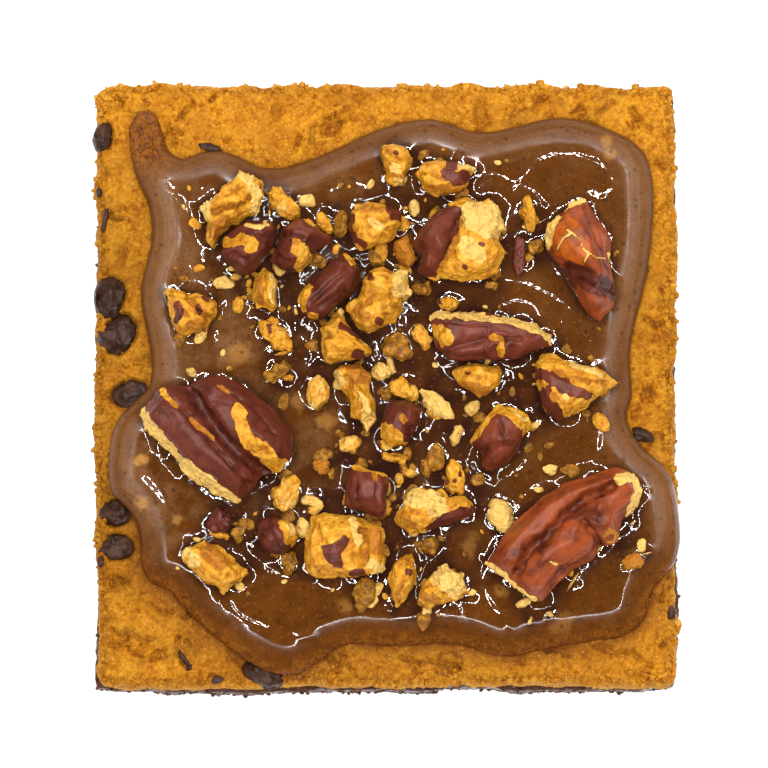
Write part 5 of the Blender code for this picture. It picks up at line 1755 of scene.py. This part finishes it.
def makeNutCrumbs():
    # broken little pieces of nut, the larger ones placed and the scraps scattered among the nuts
    draw = np.random.RandomState(crumbLook["seed"])
    rows = crumbRows(draw)
    tops = glazeTopAt(np.array([row[:2] for row in rows]))[0]
    balls = {level: ballShape(level) for level in (2, 3, crumbLook["finest"])}
    allPoints, allFaces, allShares = [], [], []
    total = 0
    for number, row in enumerate(rows):
        tone, mauve = draw.uniform(0.0, 0.4), draw.uniform(0.1, 0.5)
        for order, bit in enumerate(bitsOf(row, draw)):
            seed = 300 + 7 * number + order
            ball, faces = balls[bit[6]]
            points, relief = crumbPoints(ball, bit, seed, draw)
            # each bit's foot takes the glaze coat, with painted shade
            filmAndShade = 1 - smoothStep(points[:, 2], 0.1, 0.45 * row[4])
            points[:, 2] += tops[number]
            allShares.append(crumbShares(points, relief, filmAndShade, row[6], tone, mauve, seed, draw))
            allPoints.append(points)
            allFaces.extend(tuple(i + total for i in face) for face in faces)
            total += len(points)
    values = {key: np.concatenate([shares[key] for shares in allShares]) for key in allShares[0]}
    piece = makePiece("nutCrumbs", np.vstack(allPoints), allFaces, nutMaterial, values)
    piece.data.polygons.foreach_set("use_smooth", [False] * len(allFaces))
    return piece


nutCrumbPiece = makeNutCrumbs()
settle(nutCrumbPiece, "pecan")
print("nut crumbs:", len(nutCrumbPiece.data.polygons), "faces")

# The glaze

glazeLook = {
    "pool": (0.08, 0.0235, 0.0027),
    "body": (0.105, 0.0355, 0.0075),
    "fold": (0.154, 0.065, 0.0215),
    "thin": (0.112, 0.031, 0.0045),
    # deep: painted shade between the nuts, with some dark syrup
    "deep": (0.026, 0.007, 0.0035),
    # a paler grey-brown: partly cloudy glaze, partly painted sheen
    "milkyAndSheen": (0.155, 0.073, 0.028),
    "stain": (0.215, 0.066, 0.0062),
    "stainDark": (0.09, 0.025, 0.0026),
    "front": (0.091, 0.0268, 0.0027),
    "mottle": (0.6, 0.58, 0.55),
    "speck": (0.03, 0.009, 0.002),
    "lightSpeck": (0.24, 0.11, 0.03),
    "under": (0.42, 0.2, 0.045),
    "poolPatches": (190.0, 4.0, 0.6, 0.35, 0.65),
    "milkyPatches": (330.0, 5.0, 0.65, 0.42, 0.68),
    "streakPatches": (2.8, 4.0, 0.65, 0.42, 0.66),
    "streakStrength": 0.58,
    "frontStrength": 0.8,
    "mottlePatches": (560.0, 5.0, 0.7, 0.42, 0.64),
    "stainPatches": (600.0, 4.0, 0.65, 0.2, 0.5),
    "dots": (3300.0, 0.5),
    "dotStrength": 0.46,
    "bend": 0.0006,
    "bendScale": 900.0,
    "darkBits": (1250.0, 0.8),
    "darkBitStrength": 0.55,
    "lightBits": (2100.0, 0.8),
    "lightBitStrength": 0.22,
    "glossy": 0.045,
    "dull": 0.42,
    "stainScale": 2400.0,
    "shiverScale": 520.0,
    "bump": 0.0002,
}


def glazeBody(tree, where, look):
    # the clear pools, the cloudy places with their painted sheen, and the rim, which is streaked and folded
    clouds = math2(tree, "SUBTRACT", patches(tree, where, look["poolPatches"]), 0.5)
    pool = timesPlus(tree, clouds, 0.5, fieldValue(tree, "pool"))
    colour = mixColour(tree, pool, (*look["body"], 1), (*look["pool"], 1))
    # paler where cloudy: partly cloudy glaze, partly painted sheen
    milk = times(tree, patches(tree, where, look["milkyPatches"]), fieldValue(tree, "milkyAndSheen"))
    colour = tinted(tree, colour, milk, look["milkyAndSheen"])
    drift = timesPlus(tree, noiseNode(tree, where, 170.0, 3.0), 1.2, fieldValue(tree, "inward"))
    along = times(tree, noiseNode(tree, where, 60.0, 1.0), 3.0)
    rimWhere = addNode(tree, "ShaderNodeCombineXYZ", X=drift, Y=along).outputs[0]
    streaks = patches(tree, rimWhere, look["streakPatches"])
    clear = math2(tree, "MAXIMUM", fieldValue(tree, "gloss"), fieldValue(tree, "front"))
    streaks = times(tree, streaks, math2(tree, "SUBTRACT", 1.0, clear))
    colour = tinted(tree, colour, streaks, look["fold"], look["streakStrength"])
    colour = tinted(tree, colour, fieldValue(tree, "fold"), look["fold"])
    return tinted(tree, colour, fieldValue(tree, "thin"), look["thin"])


def glazeSpecks(tree, where, colour, look):
    # fine dark dots, and crumbs and spice of uneven shapes, dark and light
    colour = tinted(tree, colour, specks(tree, where, *look["dots"]), look["speck"], look["dotStrength"])
    bend = addNode(tree, "ShaderNodeTexNoise", Vector=where, Scale=look["bendScale"]).outputs["Color"]
    bent = vector2(tree, "MULTIPLY_ADD", bend, i1=(look["bend"],) * 3, i2=where)
    darkBits = specks(tree, bent, *look["darkBits"])
    colour = tinted(tree, colour, darkBits, look["speck"], look["darkBitStrength"])
    lightBits = specks(tree, bent, *look["lightBits"])
    return tinted(tree, colour, lightBits, look["lightSpeck"], look["lightBitStrength"])


def makeGlazeMaterial(look):
    material, tree, shader, where = startMaterial("praline glaze")
    colour = glazeBody(tree, where, look)
    front = fieldValue(tree, "front")
    colour = tinted(tree, colour, front, look["front"], look["frontStrength"])
    mottle = timesPlus(tree, front, 0.3, 0.42)
    mottle = times(tree, patches(tree, where, look["mottlePatches"]), mottle)
    colour = tinted(tree, colour, mottle, look["mottle"], blend="MULTIPLY")
    # deep darkens the glaze between the nuts: painted shade, with some dark syrup
    for finish in ("under", "deep"):
        colour = tinted(tree, colour, fieldValue(tree, finish), look[finish])
    colour = glazeSpecks(tree, where, colour, look)
    grain = useGroup(tree, crumbGrain, Vector=where, Scale=look["stainScale"])
    # the stained crumb is darker in its pits: painted shade in the hollows, over the stain's own colour
    crumb = shadeRamp(tree, grain.outputs["Rise"], look, (0.25, 0.75), "stainDark", "stain")
    stained = fieldValue(tree, "stain")
    stain = times(tree, patches(tree, where, look["stainPatches"]), stained)
    tree.links.new(mixColour(tree, stain, colour, crumb), shader.inputs["Base Color"])
    gloss = fieldValue(tree, "gloss")
    dull = addNode(tree, "ShaderNodeMapRange", Value=gloss, i3=look["dull"], i4=look["glossy"])
    tree.links.new(dull.outputs[0], shader.inputs["Roughness"])
    tree.links.new(fieldValue(tree, "shine"), shader.inputs["Specular IOR Level"])
    shader.inputs["IOR"].default_value = 1.48
    shiver = noiseNode(tree, where, look["shiverScale"], 0.0)
    shiver = times(tree, shiver, fieldValue(tree, "busy"))
    crumbly = times(tree, grain.outputs["Height"], stained)
    bumpFrom(tree, shader, math2(tree, "ADD", shiver, crumbly), look["bump"])
    return material


glazeMaterial = makeGlazeMaterial(glazeLook)


# Where the rim is folded, one pour ran over another and welts ring the pools, all as pixels
glazeFolds = (
    ((152, 190), (166, 222), (168, 262), (158, 310), (152, 366)),
    ((634, 148), (644, 190), (640, 250), (632, 318)), ((640, 400), (662, 450), (672, 500), (674, 560)),
)
glazeSteps = (
    ((213, 280), (209, 286), (224, 303), (219, 321), (218, 328), (236, 313), (249, 304), (232, 292),
     (213, 280)),
    ((521, 179), (536, 160), (556, 154), (574, 153), (596, 159), (610, 175), (614, 187), (597, 199)),
    ((603, 415), (600, 441), (593, 460), (574, 470), (566, 480), (543, 481), (530, 488), (519, 499),
     (515, 509)),
    ((483, 570), (480, 582), (486, 594), (494, 606), (504, 618), (509, 632), (509, 646), (498, 651),
     (487, 651), (477, 646), (470, 630), (462, 612)),
)
glazeWelts = (
    ((148, 176), (160, 178), (172, 187), (184, 192), (196, 191)),
    ((154, 183), (165, 191), (177, 199), (186, 214), (188, 225), (191, 233), (187, 241), (186, 250),
     (187, 259), (193, 266), (201, 270), (206, 263), (205, 252)),
    ((199, 187), (207, 186), (215, 187), (213, 195)),
    ((477, 187), (492, 175), (512, 183), (532, 191), (545, 208)),
    ((505, 282), (528, 286), (545, 294), (564, 306), (572, 314)),
    ((505, 306), (517, 302), (532, 306), (537, 318), (556, 318), (564, 330)),
    ((580, 334), (592, 346), (588, 358)),
    ((470, 464), (476, 472), (491, 481), (505, 475), (517, 466), (534, 447)),
    ((483, 507), (488, 500), (496, 497), (504, 500), (512, 506)),
    ((430, 622), (410, 630), (375, 636), (340, 634), (300, 637), (285, 632)),
    ((230, 600), (234, 612), (250, 622), (270, 628), (285, 634)),
    ((626, 456), (636, 458), (647, 470), (654, 478), (648, 489), (651, 495)),
    ((303, 335), (312, 346), (318, 357), (308, 368), (297, 380)),
    ((326, 190), (340, 184), (352, 182), (366, 190)), ((250, 512), (246, 528), (252, 546)),
    ((268, 566), (284, 574), (300, 574)),
)

# Where the glaze is cloudiest, with painted sheen, where its rim hangs over the side, and where it thins to
# a tongue
glazeCloudAndSheen = ((148, 436), (160, 470), (176, 512), (168, 552))
glazeOverhang = ((676, 492), (682, 520), (681, 560), (672, 582))
glazeTongue = ((140, 118), (142, 140))

# Nut that shows through the glaze, and dark places between the nuts, which are painted shade with some dark
# syrup: pixel, reach in pixels, strength
glazeUnder = (
    ((141, 459), 6, 0.9), ((141, 503), 7, 0.6), ((180, 519), 5, 0.5), ((606, 140), 7, 0.5),
    ((610, 152), 6, 0.45), ((630, 560), 11, 0.7), ((238, 354), 12, 0.45), ((326, 420), 9, 0.5),
    ((500, 590), 6, 0.4), ((345, 605), 8, 0.4), ((470, 545), 9, 0.4), ((420, 545), 8, 0.5),
    ((350, 440), 8, 0.55), ((300, 400), 8, 0.35), ((560, 620), 12, 0.25),
)
darkSyrupAndShade = (
    ((414, 418), 12, 0.7), ((432, 436), 9, 0.8), ((402, 540), 9, 0.8), ((396, 552), 8, 0.7),
    ((262, 540), 9, 0.5), ((296, 560), 8, 0.5), ((318, 300), 9, 0.6), ((300, 318), 9, 0.6),
    ((275, 262), 8, 0.5), ((378, 452), 8, 0.6), ((345, 515), 8, 0.6), ((520, 250), 7, 0.5),
    ((335, 240), 9, 0.5), ((386, 512), 8, 0.6), ((300, 515), 8, 0.5), ((448, 402), 8, 0.5),
)


def footprint(points, level):
    # the outline in plan of what stands at a nut's foot
    low = [Vector(p[:2]) for p in points if p[2] < level]
    hull = geometry.convex_hull_2d(low)
    return np.array([tuple(low[i]) for i in hull])


def nearBox(points, outline, reach):
    low, high = outline.min(axis=0) - reach, outline.max(axis=0) + reach
    return ((points > low) & (points < high)).all(axis=1)


def foldRidges(points, flat, depth):
    # the ridges along the folded stretches of the rim, and how near those stretches are
    near = np.zeros(len(points))
    for line in glazeFolds:
        near = np.maximum(near, bell(nearLine(points, spots(line)), glazeShape["foldReach"]))
    wander = 0.22 * ripple(flat, *glazeWaves["fold"])
    ridges = np.zeros(len(points))
    for at in glazeShape["foldDepths"]:
        ridge = bell(depth - at + wander, glazeShape["foldWidth"])
        ridges = np.maximum(ridges, ridge * near)
    return ridges, near


def nutCrowd(points):
    # how far the glaze creeps up the nuts, how close the nearest one is, and how crowded they are
    creep, close, crowd = np.zeros((3, len(points)))
    for outline in nutFeet.values():
        inReach = np.flatnonzero(nearBox(points, outline, glazeShape["nutReach"]))
        gap = np.clip(-depthInside(points[inReach], outline), 0, None)
        creep[inReach] = np.maximum(creep[inReach], np.exp(-gap / glazeShape["creepReach"]))
        close[inReach] = np.maximum(close[inReach], np.exp(-gap / 1.6))
        crowd[inReach] += np.exp(-gap / 2.0)
    share = glazeShape["crumbShare"]
    for x, y, length, width, *_ in nutCrumbs:
        gap = np.linalg.norm(points - (x + toppingsX, y), axis=1) - 0.42 * (length + width) / 2
        gap = np.clip(gap, 0, None)
        creep = np.maximum(creep, share * np.exp(-gap / 0.5))
        close = np.maximum(close, np.exp(-gap / 1.2))
        crowd += share * np.exp(-gap / 1.6)
    return creep, close, crowd


def withWelts(top, points, inner):
    # the low welts that ring the pools, and the steps where one pour ran over another
    welts = np.zeros(len(points))
    for line in glazeWelts:
        welts = np.maximum(welts, bell(nearLine(points, spots(line)), glazeShape["weltWidth"]))
    top = top + glazeShape["weltRise"] * welts * inner
    for line in glazeSteps:
        gap = sideOfLine(points, spots(line))
        bend = np.tanh(gap / glazeShape["stepWidth"]) * bell(gap, glazeShape["stepReach"])
        top = top + glazeShape["stepRise"] * bend
    return top


def strongestSpot(points, marks, outer, uneven=1.0):
    # the strongest of the marked places: full inside 0.6 of each one's reach, and gone at outer times it
    total = np.zeros(len(points))
    for pixel, reach, strength in marks:
        gap = np.linalg.norm(points - spot(pixel), axis=1) * photo["pixelsPerMm"] * uneven
        total = np.maximum(total, strength * smoothStep(gap, reach * outer, reach * 0.6))
    return total


def glazeGloss(points, flat, depth, thin):
    gloss = smoothStep(depth + 0.5 * ripple(flat, *glazeWaves["gloss"]), *glazeBounds["gloss"])
    overhang = smoothStep(nearLine(points, spots(glazeOverhang)), *glazeBounds["overhang"])
    return np.maximum(gloss, overhang) * (1 - 0.9 * thin)


def glazeMilkAndSheen(points, flat, depth, close, front, wander):
    # cloudier and paler towards the left, partly cloudy glaze and partly painted sheen; clear beside the
    # nuts and along the front
    leftward = smoothStep(3 * ripple(flat, *glazeWaves["milkyAndSheen"]) - points[:, 0], *glazeBounds["left"])
    milkyAndSheen = np.clip(0.25 + 0.75 * leftward, 0, 1) * (1 - 0.7 * close) * (1 - 0.75 * front)
    milkyAndSheen = milkyAndSheen * (0.45 + 0.55 * smoothStep(depth, *glazeBounds["milkyAndSheen"]))
    cloud = bell(nearLine(points + 4 * wander, spots(glazeCloudAndSheen)), glazeShape["cloudReach"])
    return np.maximum(milkyAndSheen, 1.25 * cloud)


def glazeSurface(points):
    # the glaze's height at each point, and the shares that its material reads
    top, depth, share = glazeTopAt(points)
    flat = flatOf(points)
    inner = smoothStep(depth, *glazeBounds["inner"])
    ridges, near = foldRidges(points, flat, depth)
    creep, close, crowd = nutCrowd(points)
    front = frontShare(points)
    tongue = bell(nearLine(points, spots(glazeTongue)), glazeShape["tongueReach"])
    wander = glazeShape["weltWander"] * wandering(flat, *glazeWaves["welt"])
    top = top + glazeShape["swell"] * inner * rough(flat, *glazeWaves["swell"])
    top = top + glazeShape["foldRise"] * ridges
    lively = glazeShape["creep"] * smoothStep(ripple(flat, *glazeWaves["creep"]), *glazeBounds["creep"])
    top = top + (glazeShape["calmCreep"] + lively) * creep * inner
    top = top + glazeShape["nutRipple"] * close * rough(flat, *glazeWaves["nutSide"]) * inner
    top = withWelts(top, points + wander, inner)
    top = top - glazeShape["tongueDrop"] * tongue * share
    top = top + glazeShape["tongueRough"] * tongue * rough(flat, *glazeWaves["tongue"])
    thin = np.clip(0.6 * (1 - smoothStep(depth, *glazeBounds["thin"])) + 0.55 * tongue, 0, 1)
    gloss = glazeGloss(points, flat, depth, thin)
    pooled = depth + 0.8 * ripple(flat, *glazeWaves["pool"]) + 4.5 * front
    uneven = 1 + 0.45 * rough(flat, *glazeWaves["under"])
    under = strongestSpot(points + 2 * wander, glazeUnder, glazeShape["underEdge"], uneven)
    # painted shade where the nuts crowd together
    paintedContactShade = smoothStep(crowd, *glazeBounds["paintedContactShade"])
    paintedContactShade = paintedContactShade * (0.8 + 0.5 * ripple(flat, *glazeWaves["paintedContactShade"]))
    dark = strongestSpot(points + 2 * wander, darkSyrupAndShade, glazeShape["spotEdge"])
    margin = smoothStep(depth + 0.7 * ripple(flat, *glazeWaves["margin"]), *glazeBounds["margin"])
    margin = front * (1 - margin)
    return top, {
        "pool": smoothStep(pooled, *glazeBounds["pool"]) * (1 - 0.4 * close),
        "fold": np.clip(0.8 * ridges + 0.2 * near, 0, 1) * (1 - front),
        "thin": thin,
        "gloss": gloss,
        "under": 0.8 * under,
        # deep holds the painted shade between the nuts and in the dark spots
        "deep": np.clip(np.maximum(dark, 0.95 * paintedContactShade), 0, 1),
        "inward": depth,
        "busy": smoothStep(crowd, *glazeBounds["busy"]),
        "milkyAndSheen": glazeMilkAndSheen(points, flat, depth, close, front, wander),
        "stain": np.clip(np.maximum(1.5 * tongue, 0.75 * margin), 0, 1),
        "front": front,
        "shine": (0.16 + 0.34 * gloss) * (1 - 0.7 * front * (1 - gloss)),
    }


def ringInset(ring, amount, outline):
    out = ringNormals(ring)
    moved = ring - out * amount
    return moved[depthInside(moved, outline) > 0.9 * amount]


def makeGlaze():
    # a closed sheet: its edge, rings that round up to full thickness, a fine middle and a coarse underside
    ring = glazeRing
    inner = [ringInset(ring, amount, ring) for amount in glazeShape["insets"]]
    grid = gridPoints(ring.min(axis=0), ring.max(axis=0), glazeShape["spacing"], 6)
    inner.append(grid[depthInside(grid, ring) > glazeShape["insets"][-1] + 0.25])
    inner = np.vstack(inner)
    under = gridPoints(ring.min(axis=0), ring.max(axis=0), 3.0, 7)
    under = under[depthInside(under, ring) > 1.2]
    flat = np.vstack((ring, inner))
    top, values = glazeSurface(flat)
    top[:len(ring)] = crustHeight(ring) - 0.05
    below = crustHeight(under) - 0.25
    points = np.vstack((np.column_stack((flat, top)), np.column_stack((under, below))))
    count = len(ring)
    faces = capFaces(ring, inner)
    for face in capFaces(ring, under):
        faces.append(tuple(i if i < count else i - count + len(flat) for i in face[::-1]))
    values = {key: np.concatenate((value, np.zeros(len(under)))) for key, value in values.items()}
    return makePiece("pralineGlaze", points, faces, glazeMaterial, values)


nutFeet = {}
for name in nutNames:
    points, _ = meshArrays(nutPieces[name].data)
    nutFeet[name] = footprint(points, points[:, 2].min() + 2.6)
glazePiece = makeGlaze()
settle(glazePiece, "praline_glaze", "praline_glaze")
print("glaze:", len(glazePiece.data.polygons), "faces")

# Chocolate chips

chipLook = {
    "dark": (0.018, 0.0064, 0.0034),
    "bloom": (0.056, 0.023, 0.0125),
    "light": (0.096, 0.045, 0.026),
    "places": (0.38, 0.62, 0.78),
    "cloudScale": 450.0,
    "shine": 0.25,
    "bumpScale": 1400.0,
    "bump": 0.00012,
}
chipShape = {
    "voxel": 0.18,
    "smoothing": 4,
    "facetSize": 2.3,
    "facet": 0.34,
    "swell": 0.12,
    "fine": 0.08,
}


def makeChipMaterial(look):
    material, tree, shader, where = startMaterial("chocolate")
    clouds = noiseNode(tree, where, look["cloudScale"], 5.0, 0.65)
    colour = shadeRamp(tree, clouds, look, look["places"], "dark", "bloom", "light")
    tree.links.new(colour, shader.inputs["Base Color"])
    tree.links.new(spread(tree, clouds, 0.1, 0.9), shader.inputs["Roughness"])
    shader.inputs["Specular IOR Level"].default_value = look["shine"]
    bumpFrom(tree, shader, noiseNode(tree, where, look["bumpScale"], 4.0, 0.6), look["bump"])
    return material


chipMaterial = makeChipMaterial(chipLook)


def makeChip(name, seed):
    points, normals, faces = softShape(name, chipShape, chipShape["smoothing"])
    _, own, facet = grainField(points, chipShape["facetSize"], seed)
    relief = chipShape["facet"] * (own - 0.5 + facet) + chipShape["swell"] * rough(points, 2.2, seed, 2)
    relief += chipShape["fine"] * rough(points, 0.7, seed + 3, 3)
    points = points + normals * relief[:, None]
    return makePiece(name.replace("chip", "chocolate"), points, faces, chipMaterial)


# Bits of chocolate that peek out of the cookie: pixel, length, width, turn
chipBits = (
    ((643, 433), 2.9, 1.5, -28), ((637, 436), 1.6, 1.2, 10), ((624, 335), 1.6, 1.1, 60),
    ((210, 145), 3.0, 1.0, -14), ((104, 218), 3.2, 0.9, 80), ((218, 678), 1.7, 0.9, 20),
    ((184, 657), 2.8, 0.7, -55), ((672, 611), 1.8, 1.2, 80), ((101, 560), 1.5, 1.0, 85),
    ((98, 190), 1.4, 0.8, 90), ((190, 666), 1.0, 0.7, 30),
)


def makeChipBits():
    draw = np.random.RandomState(77)
    ball, faces = ballShape(3)
    spotsXY = np.array([spot(pixel) for pixel, *_ in chipBits])
    tops = edgedCrust(spotsXY, cookieRing)
    allPoints, allFaces = [], []
    for number, (pixel, length, width, turn) in enumerate(chipBits):
        bit = (*spotsXY[number], length, width, 0.9 * width, turn, 3)
        points, _ = crumbPoints(ball, bit, 900 + number, draw)
        points[:, 2] += tops[number] - 0.15
        allFaces.extend(tuple(i + len(ball) * number for i in face) for face in faces)
        allPoints.append(points)
    return makePiece("chocolateBits", np.vstack(allPoints), allFaces, chipMaterial)


for number, name in enumerate(chipNames):
    settle(makeChip(name, 500 + 10 * number), "chocolate", name)
settle(makeChipBits(), "chocolate")
print("chips done")

# Stage, light and camera

stageLook = {"floorSize": 4.0, "floorShade": 0.86, "floorGlow": 0.3}


def makeStage():
    half = stageLook["floorSize"] / 2
    mesh = bpy.data.meshes.new("floor")
    corners = [(-half, -half, 0), (half, -half, 0), (half, half, 0), (-half, half, 0)]
    mesh.from_pydata(corners, [], [(0, 1, 2, 3)])
    material = bpy.data.materials.new("floor")
    material.use_nodes = True
    shader = material.node_tree.nodes["Principled BSDF"]
    shade = stageLook["floorShade"]
    shader.inputs["Base Color"].default_value = (shade, shade, shade, 1)
    shader.inputs["Roughness"].default_value = 0.9
    shader.inputs["Emission Color"].default_value = (1, 1, 1, 1)
    shader.inputs["Emission Strength"].default_value = stageLook["floorGlow"]
    mesh.materials.append(material)
    floor = bpy.data.objects.new("floor", mesh)
    bpy.context.scene.collection.objects.link(floor)


lighting = {
    "sky": 0.05,
    "boxSize": 0.75,
    "boxDistance": 1.1,
    "boxLean": 58.0,
    "boxPowers": ((90, 11.0), (210, 6.5), (330, 6.5)),
    "ringLamps": 40,
    "ringDistance": 0.9,
    "ringLean": 19.0,
    "lampSize": 0.016,
    "lampPower": 0.26,
}


def addLamp(name, size, power, lean, bearing, distance, shape):
    data = bpy.data.lights.new(name, "AREA")
    data.shape = shape
    data.size = size
    data.energy = power
    lamp = bpy.data.objects.new(name, data)
    lean, bearing = math.radians(lean), math.radians(bearing)
    aim = Vector((math.sin(lean) * math.cos(bearing), math.sin(lean) * math.sin(bearing), math.cos(lean)))
    lamp.location = aim * distance + Vector((0, 0, 0.026))
    lamp.rotation_euler = aim.to_track_quat("Z", "Y").to_euler()
    bpy.context.scene.collection.objects.link(lamp)
    return lamp


def makeLights():
    for number, (bearing, power) in enumerate(lighting["boxPowers"]):
        addLamp(f"softbox{number}", lighting["boxSize"], power, lighting["boxLean"], bearing,
                lighting["boxDistance"], "SQUARE").visible_glossy = False
    count = lighting["ringLamps"]
    for number in range(count):
        addLamp(f"ringLamp{number}", lighting["lampSize"], lighting["lampPower"], lighting["ringLean"],
                360 * number / count, lighting["ringDistance"], "DISK")
    world = bpy.data.worlds.new("sky")
    world.use_nodes = True
    world.node_tree.nodes["Background"].inputs["Color"].default_value = (1, 1, 1, 1)
    world.node_tree.nodes["Background"].inputs["Strength"].default_value = lighting["sky"]
    bpy.context.scene.world = world


view = {
    "distance": 1.0,
    "frameWidth": 0.1001,
    "lean": 3.6,
    "aimX": -0.00029,
    "aimY": -0.00005,
    "aimZ": 0.0262,
}


def makeCamera():
    data = bpy.data.cameras.new("camera")
    data.sensor_width = 36.0
    data.lens = data.sensor_width * view["distance"] / view["frameWidth"]
    data.clip_start = 0.01
    camera = bpy.data.objects.new("camera", data)
    lean = math.radians(view["lean"])
    back = Vector((0, -math.sin(lean), math.cos(lean))) * view["distance"]
    camera.location = Vector((view["aimX"], view["aimY"], view["aimZ"])) + back
    camera.rotation_euler = (lean, 0, 0)
    bpy.context.scene.collection.objects.link(camera)
    bpy.context.scene.camera = camera


makeStage()
makeLights()
makeCamera()
scene = bpy.context.scene
scene.view_settings.view_transform = "Standard"
print("stage, light and camera done")
